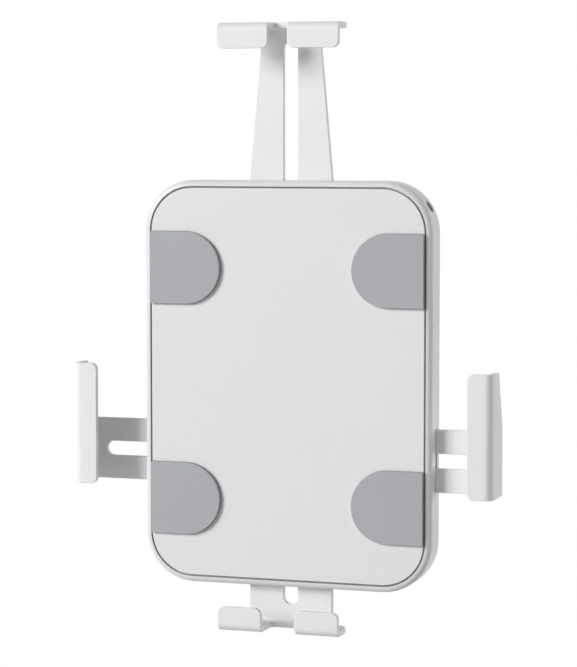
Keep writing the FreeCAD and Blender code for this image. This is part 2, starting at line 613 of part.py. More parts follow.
def make_rear_shell():
    body = new_body("rear_shell")
    outline = new_sketch(body, "XZ_Plane", "ShellOutline", HOUSING_BACK)
    draw_rounded(outline, f"-{HALF_WIDTH}", HALF_WIDTH, f"-{HALF_HEIGHT}", HALF_HEIGHT, "housing_corner")
    block = add_pad(body, outline, f"{PARTING} - {HOUSING_BACK}", "ShellBlock")
    back_edge = edges_at_depth(block, HOUSING_BACK, HALF_WIDTH, HALF_HEIGHT)
    round_edges(body, block, back_edge, "rear_edge_round", "BackRound")

    tongue = new_sketch(body, "XZ_Plane", "TongueOutline", PARTING)
    inset = "(frame_wall + tongue_play)"
    draw_rounded(tongue, f"-{HALF_WIDTH} + {inset}", f"{HALF_WIDTH} - {inset}",
                 f"-{HALF_HEIGHT} + {inset}", f"{HALF_HEIGHT} - {inset}", f"housing_corner - {inset}")
    add_pad(body, tongue, "tongue_height", "Tongue")

    hollow = new_sketch(body, "XZ_Plane", "ShellHollowOutline", f"{PARTING} + tongue_height")
    draw_rounded(hollow, f"-{HALF_WIDTH} + {REAR_WALL}", f"{HALF_WIDTH} - {REAR_WALL}",
                 f"-{HALF_HEIGHT} + {REAR_WALL}", f"{HALF_HEIGHT} - {REAR_WALL}",
                 f"housing_corner - {REAR_WALL}")
    cut_pocket(body, hollow, f"{PARTING} + tongue_height - {FLOOR_FRONT}", "ShellHollow")

    recess = new_sketch(body, "XZ_Plane", "RearRecessOutline", HOUSING_BACK)
    draw_rounded(recess, f"-{HALF_WIDTH} + {REAR_WALL}", f"{HALF_WIDTH} - {REAR_WALL}",
                 f"-{HALF_HEIGHT} + {REAR_WALL}", f"{HALF_HEIGHT} - {REAR_WALL}",
                 f"housing_corner - {REAR_WALL}")
    cut_pocket(body, recess, "skirt_depth", "RearRecess", forwards=True)

    add_arm_rails(body)
    cut_arm_slits(body)

    clamps = new_sketch(body, "XZ_Plane", "ClampHoleOutlines", FLOOR_FRONT)
    for place in CLAMPS.values():
        draw_circle(clamps, place, "clamp_screw + 2 * hole_play")
    cut_pocket(body, clamps, "floor_thickness", "ClampHoles")
    screws = new_sketch(body, "XZ_Plane", "ShellScrewHoleOutlines", FLOOR_FRONT)
    for place in SHELL_SCREWS:
        draw_circle(screws, place, "shell_screw + 2 * hole_play")
    cut_pocket(body, screws, "floor_thickness", "ShellScrewHoles")

    windows = new_sketch(body, "XZ_Plane", "HookWindowOutlines", FLOOR_FRONT)
    for side in SIDES.values():
        for seat in HOOK_LEVELS.values():
            half = "(bracket_thickness / 2 + window_play)"
            draw_rectangle(windows, f"{side} * {HOOK_X} - {half}", f"{side} * {HOOK_X} + {half}",
                           f"{seat} - hook_neck - lift", seat)
    cut_pocket(body, windows, "floor_thickness", "HookWindows")

    ear = new_sketch(body, "XZ_Plane", "EarWindowOutline", FLOOR_FRONT)
    upper_x, upper_z = along_lock("lock_ear_start", "lock_ear / 2")
    lower_x, lower_z = along_lock("lock_ear_start + bracket_thickness", "-lock_ear / 2")
    outer_z = along_lock("lock_ear_start + bracket_thickness", "lock_ear / 2")[1]
    inner_z = along_lock("lock_ear_start", "-lock_ear / 2")[1]
    draw_rectangle(ear, f"{upper_x} - ear_window_play", f"{lower_x} + ear_window_play",
                   f"{inner_z} - ear_window_play - lift", f"{outer_z} + ear_window_play")
    cut_pocket(body, ear, "floor_thickness", "EarWindow")
    cut_lock_hole(body)
    return body


def add_arm_rails(body):
    """Two rails on the floor lead each arm behind its slit."""
    length = f"(rail_length + {REAR_WALL})"
    for name, width, side in (("Top", "top_arm_width", "1"), ("Bottom", "bottom_arm_width", "-1")):
        rails = new_sketch(body, "XZ_Plane", f"{name}RailOutlines", FLOOR_FRONT)
        for flank in ("-1", "1"):
            near = f"{flank} * ({width} / 2 + arm_play)"
            far = f"{flank} * ({width} / 2 + arm_play + rail_thickness)"
            outer = f"{side} * ({HALF_HEIGHT} - frame_wall)"
            inner = f"{side} * ({HALF_HEIGHT} - {length})"
            draw_polygon(rails, [(near, outer), (far, outer), (far, inner), (near, inner)])
        add_pad(body, rails, f"{PARTING} - {FLOOR_FRONT}", f"{name}Rails")
    for name, side in SIDES.items():
        rails = new_sketch(body, "XZ_Plane", f"{name.title()}RailOutlines", FLOOR_FRONT)
        for flank in ("-1", "1"):
            near = f"-side_arm_level + {flank} * {SIDE_SLIT_WIDTH} / 2"
            far = f"-side_arm_level + {flank} * ({SIDE_SLIT_WIDTH} / 2 + rail_thickness)"
            outer = f"{side} * ({HALF_WIDTH} - frame_wall)"
            inner = f"{side} * ({HALF_WIDTH} - {length})"
            draw_polygon(rails, [(inner, near), (outer, near), (outer, far), (inner, far)])
        add_pad(body, rails, f"{PARTING} - {FLOOR_FRONT}", f"{name.title()}Rails")


def cut_arm_slits(body):
    """Slits in the front edge of the side wall, as wide as the arms."""
    depth = f"{PARTING} + tongue_height - {FLOOR_FRONT}"
    for name, width, side in (("Top", "top_arm_width", "1"), ("Bottom", "bottom_arm_width", "-1")):
        slit = new_sketch(body, "XZ_Plane", f"{name}SlitOutline", f"{PARTING} + tongue_height")
        half = f"({width} / 2 + arm_play)"
        inner = f"{side} * ({HALF_HEIGHT} - {REAR_WALL})"
        outer = f"{side} * ({HALF_HEIGHT} + frame_wall)"
        draw_rectangle(slit, f"-{half}", half, inner, outer)
        cut_pocket(body, slit, depth, f"{name}Slit")
    for name, side in SIDES.items():
        slit = new_sketch(body, "XZ_Plane", f"{name.title()}SlitOutline", f"{PARTING} + tongue_height")
        low = f"-side_arm_level - {SIDE_SLIT_WIDTH} / 2"
        high = f"-side_arm_level + {SIDE_SLIT_WIDTH} / 2"
        draw_rectangle(slit, f"{side} * ({HALF_WIDTH} - {REAR_WALL})",
                       f"{side} * ({HALF_WIDTH} + frame_wall)", low, high)
        cut_pocket(body, slit, depth, f"{name.title()}Slit")


# Cover and grip pads

def make_front_cover():
    body = new_body("front_cover")
    outline = new_sketch(body, "XZ_Plane", "CoverOutline", WEB_FRONT)
    half_height = f"({HALF_HEIGHT} - rim_width - cover_gap)"
    draw_rounded(outline, f"-{COVER_HALF_WIDTH}", COVER_HALF_WIDTH, f"-{half_height}", half_height,
                 "(housing_corner - rim_width - cover_gap)")
    plate = add_pad(body, outline, "cover_thickness", "CoverPlate")
    front = edges_at_depth(plate, COVER_FRONT, COVER_HALF_WIDTH, half_height)
    round_edges(body, plate, front, "cover_edge_round", "CoverEdge")
    for height, level in PAD_LEVELS.items():
        for name, side in SIDES.items():
            label = f"{height.title()}{name.title()}"
            recess = new_sketch(body, "XZ_Plane", f"{label}RecessOutline", COVER_FRONT)
            draw_pad_outline(recess, side, level, "0")
            cut_pocket(body, recess, "pad_recess", f"{label}Recess")
    pins = new_sketch(body, "XZ_Plane", "PinOutlines", WEB_FRONT)
    for place in COVER_PINS:
        draw_circle(pins, place, "pin")
    add_pad(body, pins, "pin_length", "Pins", backwards=True)
    return body


def make_grip_pad(name, side, level):
    body = new_body(name)
    outline = new_sketch(body, "XZ_Plane", "PadOutline", f"{COVER_FRONT} - pad_recess")
    draw_pad_outline(outline, side, level, "pad_play")
    block = add_pad(body, outline, "pad_recess + pad_proud", "PadBlock")
    doc.recompute()
    front = -number(f"{COVER_FRONT} + pad_proud")
    edges = [f"Edge{place + 1}" for place, edge in enumerate(block.Shape.Edges)
             if abs(edge.BoundBox.YMin - front) < 0.01 and abs(edge.BoundBox.YMax - front) < 0.01]
    round_edges(body, block, edges, "pad_edge_round", "PadEdge")
    return body


# Arms, each folded from one strip of sheet steel

def make_end_arm(name, side, sizes):
    """The upper (side 1) or lower (side -1) arm: strip, slot, and a hook with two lips and a notch.

    sizes names the formulas that differ between the two arms.
    """
    body = new_body(name)
    reach = sizes["reach"]
    clamp = sizes["clamp"]
    slot_inner = f"({clamp} - slot_reserve)"
    tail = f"({slot_inner} - slot_width / 2 - arm_tail)"
    profile = new_sketch(body, "YZ_Plane", "FoldProfile", "0")
    shelf_outer = f"({reach} + sheet)"
    lip_end = f"({shelf_outer} - {sizes['lip']})"
    draw_polygon(profile, [
        (f"-{ARM_BACK}", f"{side} * {tail}"),
        (f"-{ARM_FRONT}", f"{side} * {tail}"),
        (f"-{ARM_FRONT}", f"{side} * {reach}"),
        (f"-{LIP_BACK}", f"{side} * {reach}"),
        (f"-{LIP_BACK}", f"{side} * {lip_end}"),
        (f"-{LIP_FRONT}", f"{side} * {lip_end}"),
        (f"-{LIP_FRONT}", f"{side} * {shelf_outer}"),
        (f"-{ARM_BACK}", f"{side} * {shelf_outer}"),
    ])
    strip = add_pad(body, profile, "head_width", "Strip", both_ways=True)
    inside = edges_along(strip, "x", [(f"-{ARM_FRONT}", f"{side} * {reach}"),
                                      (f"-{LIP_BACK}", f"{side} * {reach}")])
    inner_folds = round_edges(body, strip, inside, "bend_inside", "InnerFolds")
    outside = edges_along(inner_folds, "x", [(f"-{ARM_BACK}", f"{side} * {shelf_outer}"),
                                             (f"-{LIP_FRONT}", f"{side} * {shelf_outer}")])
    round_edges(body, inner_folds, outside, BEND_OUTSIDE, "OuterFolds")

    # Beside the arm nothing stays behind the ears.
    ear_back = f"({LIP_FRONT} - head_depth)"
    for label, flank in (("Left", "-1"), ("Right", "1")):
        beside = new_sketch(body, "XZ_Plane", f"{label}FlankOutline", ear_back)
        outer = f"{flank} * (head_width / 2 + sheet)"
        draw_polygon(beside, [
            (f"{flank} * {sizes['width']} / 2", f"{side} * ({tail} - sheet)"),
            (f"{flank} * {sizes['width']} / 2", f"{side} * {sizes['taper_start']}"),
            (f"{flank} * {sizes['tip_width']} / 2", f"{side} * {reach}"),
            (f"{flank} * {sizes['tip_width']} / 2", f"{side} * ({shelf_outer} + sheet)"),
            (outer, f"{side} * ({shelf_outer} + sheet)"),
            (outer, f"{side} * ({tail} - sheet)"),
        ])
        cut_pocket(body, beside, f"{ear_back} - {ARM_BACK} + sheet", f"{label}Flank")

    slot = new_sketch(body, "XZ_Plane", "SlotOutline", ARM_FRONT)
    slot_outer = f"({reach} - {sizes['slot_margin']} - slot_width / 2)"
    first, last = (slot_inner, slot_outer) if side == "1" else (slot_outer, slot_inner)
    draw_slot(slot, True, f"{side} * {first}", f"{side} * {last}", "0", "slot_width")
    cut_pocket(body, slot, "sheet", "Slot")

    notch = new_sketch(body, "XY_Plane", "NotchOutline", f"{side} * {lip_end}")
    notch_end = f"(-{LIP_FRONT} + {sizes['notch_depth']})"
    draw_rectangle(notch, f"-{sizes['notch']} / 2", f"{sizes['notch']} / 2",
                   f"-{LIP_FRONT} - sheet", notch_end)
    last_cut = cut_pocket(body, notch, f"2 * {sizes['lip']}", "Notch", both_ways=True)

    half_notch = f"{sizes['notch']} / 2"
    notch_edges = edges_along(last_cut, "z", [(f"-{half_notch}", notch_end), (half_notch, notch_end)])
    notch_round = round_edges(body, last_cut, notch_edges, "notch_corner", "NotchRound")
    half_head = "head_width / 2"
    ear_spots = [(f"-{half_head}", f"-{ear_back}"), (half_head, f"-{ear_back}")]
    ear_edges = edges_along(notch_round, "z", ear_spots)
    ear_round = round_edges(body, notch_round, ear_edges, "ear_corner", "EarRound")
    lip_level = f"{side} * {lip_end}"
    lip_edges = edges_along(ear_round, "y", [(f"-{half_head}", lip_level), (f"-{half_notch}", lip_level),
                                             (half_notch, lip_level), (half_head, lip_level)])
    round_edges(body, ear_round, lip_edges, "lip_corner", "LipRound")
    return body


def make_side_arm(name, side):
    """A side arm: strip with slot, and a hook whose wall rises above the strip and slants forward."""
    body = new_body(name)
    clamp = SIDE_CLAMP
    slot_inner = f"({clamp} - slot_reserve)"
    tail = f"({slot_inner} - slot_width / 2 - arm_tail)"
    reach = SIDE_REACH
    wall_outer = f"({reach} + sheet)"
    lip_end = f"({wall_outer} - side_lip)"
    low = "(-side_arm_level - side_arm_width / 2)"
    high = "(-side_arm_level + side_arm_width / 2)"
    profile = new_sketch(body, "XY_Plane", "FoldProfile", low)
    draw_polygon(profile, [
        (f"{side} * {tail}", f"-{ARM_BACK}"),
        (f"{side} * {tail}", f"-{ARM_FRONT}"),
        (f"{side} * {reach}", f"-{ARM_FRONT}"),
        (f"{side} * {reach}", f"-{LIP_BACK}"),
        (f"{side} * {lip_end}", f"-{LIP_BACK}"),
        (f"{side} * {lip_end}", f"-{LIP_FRONT}"),
        (f"{side} * {wall_outer}", f"-{LIP_FRONT}"),
        (f"{side} * {wall_outer}", f"-{ARM_BACK}"),
    ])
    strip = add_pad(body, profile, f"side_hook_top - {low}", "Strip")
    inside = edges_along(strip, "z", [(f"{side} * {reach}", f"-{ARM_FRONT}"),
                                      (f"{side} * {reach}", f"-{LIP_BACK}")])
    inner_folds = round_edges(body, strip, inside, "bend_inside", "InnerFolds")
    outside = edges_along(inner_folds, "z", [(f"{side} * {wall_outer}", f"-{ARM_BACK}"),
                                             (f"{side} * {wall_outer}", f"-{LIP_FRONT}")])
    round_edges(body, inner_folds, outside, BEND_OUTSIDE, "OuterFolds")

    # The strip ends at its own height, and the hook's wall slants from there to its top.
    flank = new_sketch(body, "YZ_Plane", "SlantOutline", "0")
    top_back = f"(-{LIP_FRONT} + side_hook_top_depth)"
    clear_back = f"(-{ARM_BACK} + sheet)"
    clear_top = "(side_hook_top + sheet)"
    draw_polygon(flank, [(clear_back, high), (f"-{ARM_FRONT}", high), (top_back, "side_hook_top"),
                         (top_back, clear_top), (clear_back, clear_top)])
    cut_pocket(body, flank, f"2 * ({wall_outer} + sheet)", "Slant", both_ways=True)

    slot = new_sketch(body, "XZ_Plane", "SlotOutline", ARM_FRONT)
    slot_outer = f"({reach} - side_slot_margin - slot_width / 2)"
    first, last = (slot_inner, slot_outer) if side == "1" else (slot_outer, slot_inner)
    draw_slot(slot, False, f"{side} * {first}", f"{side} * {last}", "-side_arm_level", "slot_width")
    last_cut = cut_pocket(body, slot, "sheet", "Slot")
    corners = [(f"{side} * {lip_end}", level) for level in (low, "side_hook_top")]
    round_edges(body, last_cut, edges_along(last_cut, "y", corners), "lip_corner", "LipRound")
    return body


# Screws and clamp plates

def make_clamp_screw(name, place):
    """Low head with a hexagon socket behind the floor, shank through floor, slot and clamp plate."""
    body = new_body(name)
    centre = ("0", "0")
    head = new_sketch(body, "XZ_Plane", "HeadOutline", f"{FLOOR_BACK} - clamp_head_height")
    draw_circle(head, centre, "clamp_head")
    disc = add_pad(body, head, "clamp_head_height", "Head")
    doc.recompute()
    rim = [f"Edge{i + 1}" for i, edge in enumerate(disc.Shape.Edges)
           if abs(edge.BoundBox.YMin + number(f"{FLOOR_BACK} - clamp_head_height")) < 0.01
           and edge.BoundBox.YLength < 0.01]
    round_edges(body, disc, rim, "clamp_head_round", "HeadRound")
    shank = new_sketch(body, "XZ_Plane", "ShankOutline", FLOOR_BACK)
    draw_circle(shank, centre, "clamp_screw")
    add_pad(body, shank, f"{CLAMP_PLATE_BACK} + clamp_plate_thickness - {FLOOR_BACK}", "Shank")
    key = new_sketch(body, "XZ_Plane", "KeyOutline", f"{FLOOR_BACK} - clamp_head_height")
    draw_hexagon(key, centre, "clamp_key")
    cut_pocket(body, key, "clamp_key_depth", "Key", forwards=True)
    bind(body, "Placement.Base.x", place[0])
    bind(body, "Placement.Base.z", place[1])
    return body


def make_clamp_plate(name, place):
    """Square nut plate in front of the arm, held against turning by its guide."""
    body = new_body(name)
    outline = new_sketch(body, "XZ_Plane", "PlateOutline", CLAMP_PLATE_BACK)
    half = "clamp_plate / 2"
    draw_rectangle(outline, f"-{half}", half, f"-{half}", half)
    add_pad(body, outline, "clamp_plate_thickness", "Plate")
    thread = new_sketch(body, "XZ_Plane", "ThreadOutline", CLAMP_PLATE_BACK)
    draw_circle(thread, ("0", "0"), "clamp_screw + 2 * screw_play")
    cut_pocket(body, thread, "clamp_plate_thickness", "Thread", forwards=True)
    bind(body, "Placement.Base.x", place[0])
    bind(body, "Placement.Base.z", place[1])
    return body


def make_shell_screws():
    """Six screws from the back hold the two shells together."""
    body = new_body("shell_screws")
    body.AllowCompound = True
    heads = new_sketch(body, "XZ_Plane", "HeadOutlines", f"{FLOOR_BACK} - shell_head_height")
    shanks = new_sketch(body, "XZ_Plane", "ShankOutlines", FLOOR_BACK)
    keys = new_sketch(body, "XZ_Plane", "KeyOutlines", f"{FLOOR_BACK} - shell_head_height")
    for place in SHELL_SCREWS:
        draw_circle(heads, place, "shell_screw_head")
        draw_circle(shanks, place, "shell_screw")
        draw_hexagon(keys, place, "shell_key")
    add_pad(body, heads, "shell_head_height", "Heads")
    add_pad(body, shanks, f"{FLOOR_FRONT} + shell_screw_grip - {FLOOR_BACK} - hole_play", "Shanks")
    cut_pocket(body, keys, "shell_key_depth", "Keys", forwards=True)
    return body


# Lock

def make_lock_screw():
    """Set screw along the lock axis, with its hexagon socket towards the key hole."""
    body = new_body("lock_screw")
    shank = new_sketch(body, "XY_Plane", "ShankOutline", "lock_start")
    draw_circle(shank, ("0", "0"), "lock_screw")
    add_pad(body, shank, "lock_screw_length", "Shank")
    key = new_sketch(body, "XY_Plane", "KeyOutline", "lock_start + lock_screw_length")
    draw_hexagon(key, ("0", "0"), "lock_key")
    cut_pocket(body, key, "lock_key_depth", "Key")
    lay_on_lock_axis(body)
    return body


def make_lock_block():
    """Threaded block between web and floor, held by the two cheeks of the front frame."""
    body = new_body("lock_block")
    outline = new_sketch(body, "XY_Plane", "BlockOutline", "lock_block_start")
    front = f"-({WEB_BACK} - lock_block_play - lock_depth)"
    back = f"(lock_depth - {FLOOR_FRONT} - lock_block_play)"
    draw_rectangle(outline, "-lock_block_width / 2", "lock_block_width / 2", front, back)
    add_pad(body, outline, "lock_block_length", "Block")
    thread = new_sketch(body, "XY_Plane", "ThreadOutline", "lock_block_start")
    draw_circle(thread, ("0", "0"), "lock_screw + 2 * screw_play")
    cut_pocket(body, thread, "lock_block_length", "Thread", forwards=True)
    lay_on_lock_axis(body)
    return body


def lay_on_lock_axis(body):
    """Turns a body made along +Z onto the lock axis, which starts at the corner's centre."""
    tilt = "90 - lock_angle"
    body.Placement = FreeCAD.Placement(
        FreeCAD.Vector(number(LOCK_CENTRE_X), -number("lock_depth"), number(LOCK_CENTRE_Z)),
        FreeCAD.Rotation(FreeCAD.Vector(0, 1, 0), number(tilt)))
    bind(body, "Placement.Base.x", LOCK_CENTRE_X)
    bind(body, "Placement.Base.y", "-lock_depth")
    bind(body, "Placement.Base.z", LOCK_CENTRE_Z)
    bind(body, "Placement.Rotation.Angle", tilt)


# Wall bracket, cut and folded from one sheet

def make_wall_bracket():
    body = new_body("wall_bracket")
    outline = new_sketch(body, "XZ_Plane", "PlateOutline", "0")
    draw_rounded(outline, f"-{BRACKET_HALF_WIDTH}", BRACKET_HALF_WIDTH, f"-{BRACKET_BOTTOM}", BRACKET_TOP,
                 "bracket_corner")
    add_pad(body, outline, "bracket_thickness", "Plate")

    ear_outer = "(lock_ear_start + bracket_thickness)"
    upper = along_lock(ear_outer, "lock_ear / 2")
    lower = along_lock(ear_outer, "-lock_ear / 2")
    root = new_sketch(body, "XZ_Plane", "EarRootOutline", "0")
    draw_polygon(root, [(f"{BRACKET_HALF_WIDTH} - 2 * lock_ear", f"{BRACKET_TOP} - lock_ear"),
                        (BRACKET_HALF_WIDTH, f"{BRACKET_TOP} - 2 * lock_ear"), lower, upper])
    add_pad(body, root, "bracket_thickness", "EarRoot")
    ear = new_sketch(body, "XZ_Plane", "EarOutline", "0")
    draw_polygon(ear, [upper, along_lock("lock_ear_start", "lock_ear / 2"),
                       along_lock("lock_ear_start", "-lock_ear / 2"), lower])
    add_pad(body, ear, "lock_ear_height", "Ear")
    x, z = along_lock("0")
    cut_round(body, "EarHole", "lock_ear_hole", f"{ear_outer} + bracket_thickness",
              x, "-lock_depth", z, "90 - lock_angle")

    finger_back = f"({FLOOR_FRONT} + hook_play)"
    finger_front = f"({finger_back} + hook_finger_depth)"
    shoulder = f"({FLOOR_BACK} - hook_play)"
    for side_name, side in SIDES.items():
        hooks = new_sketch(body, "YZ_Plane", f"{side_name.title()}HookProfiles", f"{side} * {HOOK_X}")
        for seat in HOOK_LEVELS.values():
            low = f"({seat} - hook_neck)"
            tip = f"({seat} + hook_finger)"
            draw_polygon(hooks, [("0", low), (f"-{finger_front}", low), (f"-{finger_front}", tip),
                                 (f"-{finger_back}", tip), (f"-{finger_back}", seat),
                                 (f"-{shoulder}", seat), (f"-{shoulder}", tip), ("0", tip)])
        add_pad(body, hooks, "bracket_thickness", f"{side_name.title()}Hooks", both_ways=True)

    lances = new_sketch(body, "XZ_Plane", "LanceOutlines", "bracket_thickness")
    for side in SIDES.values():
        for seat in HOOK_LEVELS.values():
            outer = f"{side} * ({HOOK_X} - bracket_thickness / 2)"
            inner = f"{side} * ({HOOK_X} - bracket_thickness / 2 - {finger_front})"
            low = f"{seat} - hook_neck"
            tip = f"{seat} + hook_finger"
            draw_polygon(lances, [(inner, low), (outer, low), (outer, tip), (inner, tip)])
    cut_pocket(body, lances, "bracket_thickness", "Lances")

    holes = new_sketch(body, "XZ_Plane", "WallHoleOutlines", "bracket_thickness")
    half = "wall_hole_spacing / 2"
    for x in (f"-{half}", half):
        for z in (f"-{half}", half):
            draw_circle(holes, (x, z), "wall_hole")
    cut_pocket(body, holes, "bracket_thickness", "WallHoles")
    return body


TOP_ARM = {
    "reach": TOP_REACH,
    "lip": "top_lip",
    "width": "top_arm_width",
    "tip_width": "top_tip_width",
    "taper_start": HALF_HEIGHT,
    "notch": "top_notch",
    "notch_depth": "top_notch_depth",
    "slot_margin": "top_slot_margin",
    "clamp": TOP_CLAMP,
}
BOTTOM_ARM = {
    "reach": BOTTOM_REACH,
    "lip": "bottom_lip",
    "width": "bottom_arm_width",
    "tip_width": "bottom_arm_width",
    "taper_start": HALF_HEIGHT,
    "notch": "bottom_notch",
    "notch_depth": "bottom_notch_depth",
    "slot_margin": "bottom_slot_margin",
    "clamp": BOTTOM_CLAMP,
}


def build():
    """Makes every piece, in the order in which the mount is put together."""
    pieces = [make_wall_bracket(), make_rear_shell()]
    pieces.append(make_end_arm("top_arm", "1", TOP_ARM))
    pieces.append(make_end_arm("bottom_arm", "-1", BOTTOM_ARM))
    for name, side in SIDES.items():
        pieces.append(make_side_arm(f"{name}_arm", side))
    for name, place in CLAMPS.items():
        pieces.append(make_clamp_screw(f"{name}_clamp_screw", place))
        pieces.append(make_clamp_plate(f"{name}_clamp_plate", place))
    pieces.append(make_lock_block())
    pieces.append(make_lock_screw())
    pieces.append(make_front_frame())
    pieces.append(make_shell_screws())
    pieces.append(make_front_cover())
    for height, level in PAD_LEVELS.items():
        for name, side in SIDES.items():
            pieces.append(make_grip_pad(f"{height}_{name}_pad", side, level))
    doc.recompute()
    return pieces


def check(pieces):
    """Stops on any object that failed and on any piece without a sound shape."""
    for item in doc.Objects:
        if "Invalid" in item.State or "Error" in item.State:
            raise RuntimeError(f"{item.Label} failed: {item.State}")
    for piece in pieces:
        if piece.Shape.isNull() or not piece.Shape.isValid() or not piece.Shape.Solids:
            raise RuntimeError(f"{piece.Label} has no sound shape")


def write(pieces):
    """Writes each piece to a file of its own name."""
    os.makedirs("parts", exist_ok=True)
    for piece in pieces:
        piece.Shape.exportStep(f"parts/{piece.Label}.step")


all_pieces = build()
check(all_pieces)
write(all_pieces)
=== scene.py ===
"""Looks of a lockable tablet wall mount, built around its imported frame.

Every length is in metres and every piece stands where its solid stands: +Z is up, the front faces -Y,
and the wall is the plane y = 0.
"""

import logging
import math
from dataclasses import dataclass
from enum import Enum
from typing import Iterable

import bmesh
import bpy
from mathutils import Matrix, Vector
from mathutils.bvhtree import BVHTree


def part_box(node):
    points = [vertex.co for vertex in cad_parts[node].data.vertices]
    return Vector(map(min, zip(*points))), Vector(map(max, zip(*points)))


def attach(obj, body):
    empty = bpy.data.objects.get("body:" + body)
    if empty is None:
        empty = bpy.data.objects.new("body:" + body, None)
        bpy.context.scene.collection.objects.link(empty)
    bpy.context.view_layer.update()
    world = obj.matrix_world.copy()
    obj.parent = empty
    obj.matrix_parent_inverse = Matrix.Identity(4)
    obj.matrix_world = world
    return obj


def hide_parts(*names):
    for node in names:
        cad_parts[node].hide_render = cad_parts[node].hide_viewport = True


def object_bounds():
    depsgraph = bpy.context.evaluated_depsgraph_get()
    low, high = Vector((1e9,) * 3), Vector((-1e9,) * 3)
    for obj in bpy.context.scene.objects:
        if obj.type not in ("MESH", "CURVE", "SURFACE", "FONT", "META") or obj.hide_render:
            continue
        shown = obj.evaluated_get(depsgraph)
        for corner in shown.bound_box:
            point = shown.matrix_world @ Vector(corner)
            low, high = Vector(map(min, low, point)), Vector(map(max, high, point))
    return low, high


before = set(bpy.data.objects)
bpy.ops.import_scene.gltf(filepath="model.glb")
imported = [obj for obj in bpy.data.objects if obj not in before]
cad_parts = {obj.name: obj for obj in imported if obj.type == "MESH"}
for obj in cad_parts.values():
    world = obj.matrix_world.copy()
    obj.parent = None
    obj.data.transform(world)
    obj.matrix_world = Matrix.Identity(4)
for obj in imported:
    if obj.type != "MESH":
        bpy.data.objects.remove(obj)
CAD_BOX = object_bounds()

MM = 0.001
MERGE_DISTANCE = 0.001 * MM
FORWARDS = Vector((0, -1, 0))
log = logging.getLogger("tablet_mount")

Colour = tuple[float, float, float]


class Side(Enum):
    """The two sides of the mount, seen from the front."""

    LEFT = -1
    RIGHT = 1


class Level(Enum):
    """The two rows of grip pads."""

    UPPER = "upper"
    LOWER = "lower"


class Slot(Enum):
    """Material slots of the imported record."""

    ARM = "arm_steel"
    BRACKET = "bracket_steel"
    SHELL = "shell_plastic"
    COVER = "cover_plastic"
    PAD = "pad_rubber"
    SCREW = "screw_steel"


# Node trees

class Graph:
    """Adds nodes to one tree and joins them."""

    def __init__(self, tree: bpy.types.NodeTree) -> None:
        """Keeps the tree.

        Args:
            tree: the shader or geometry tree that grows.
        """
        self.tree = tree

    def add(self, kind: str, inputs: dict | None = None, **settings: object) -> bpy.types.Node:
        """Adds one node.

        Args:
            kind: the node's type name.
            inputs: value or output socket for each input, by its name or number.
            settings: properties of the node itself.

        Returns:
            The new node.
        """
        node = self.tree.nodes.new(kind)
        for name, value in settings.items():
            setattr(node, name, value)
        for key, value in (inputs or {}).items():
            if isinstance(value, bpy.types.NodeSocket):
                self.tree.links.new(value, node.inputs[key])
            else:
                node.inputs[key].default_value = value
        return node

    def math(self, operation: str, *values: object) -> bpy.types.NodeSocket:
        """Adds a calculation in the tree's own kind of Math node and returns its result."""
        node = self.add("ShaderNodeMath", dict(enumerate(values)), operation=operation)
        return node.outputs[0]

    def join(self, start: bpy.types.NodeSocket, end: bpy.types.NodeSocket) -> None:
        """Links an output to an input."""
        self.tree.links.new(start, end)


def new_group(name: str, kind: str, inputs: list[tuple], outputs: list[tuple]) -> bpy.types.NodeTree:
    """Makes an empty node group with its sockets.

    Args:
        name: the group's name.
        kind: ShaderNodeTree or GeometryNodeTree.
        inputs: name, socket type and default value or None of each input.
        outputs: name and socket type of each output.

    Returns:
        The group.
    """
    group = bpy.data.node_groups.new(name, kind)
    for socket_name, socket_type, default in inputs:
        socket = group.interface.new_socket(name=socket_name, in_out="INPUT", socket_type=socket_type)
        if default is not None:
            socket.default_value = default
    for socket_name, socket_type in outputs:
        group.interface.new_socket(name=socket_name, in_out="OUTPUT", socket_type=socket_type)
    return group


# Effects that several finishes share

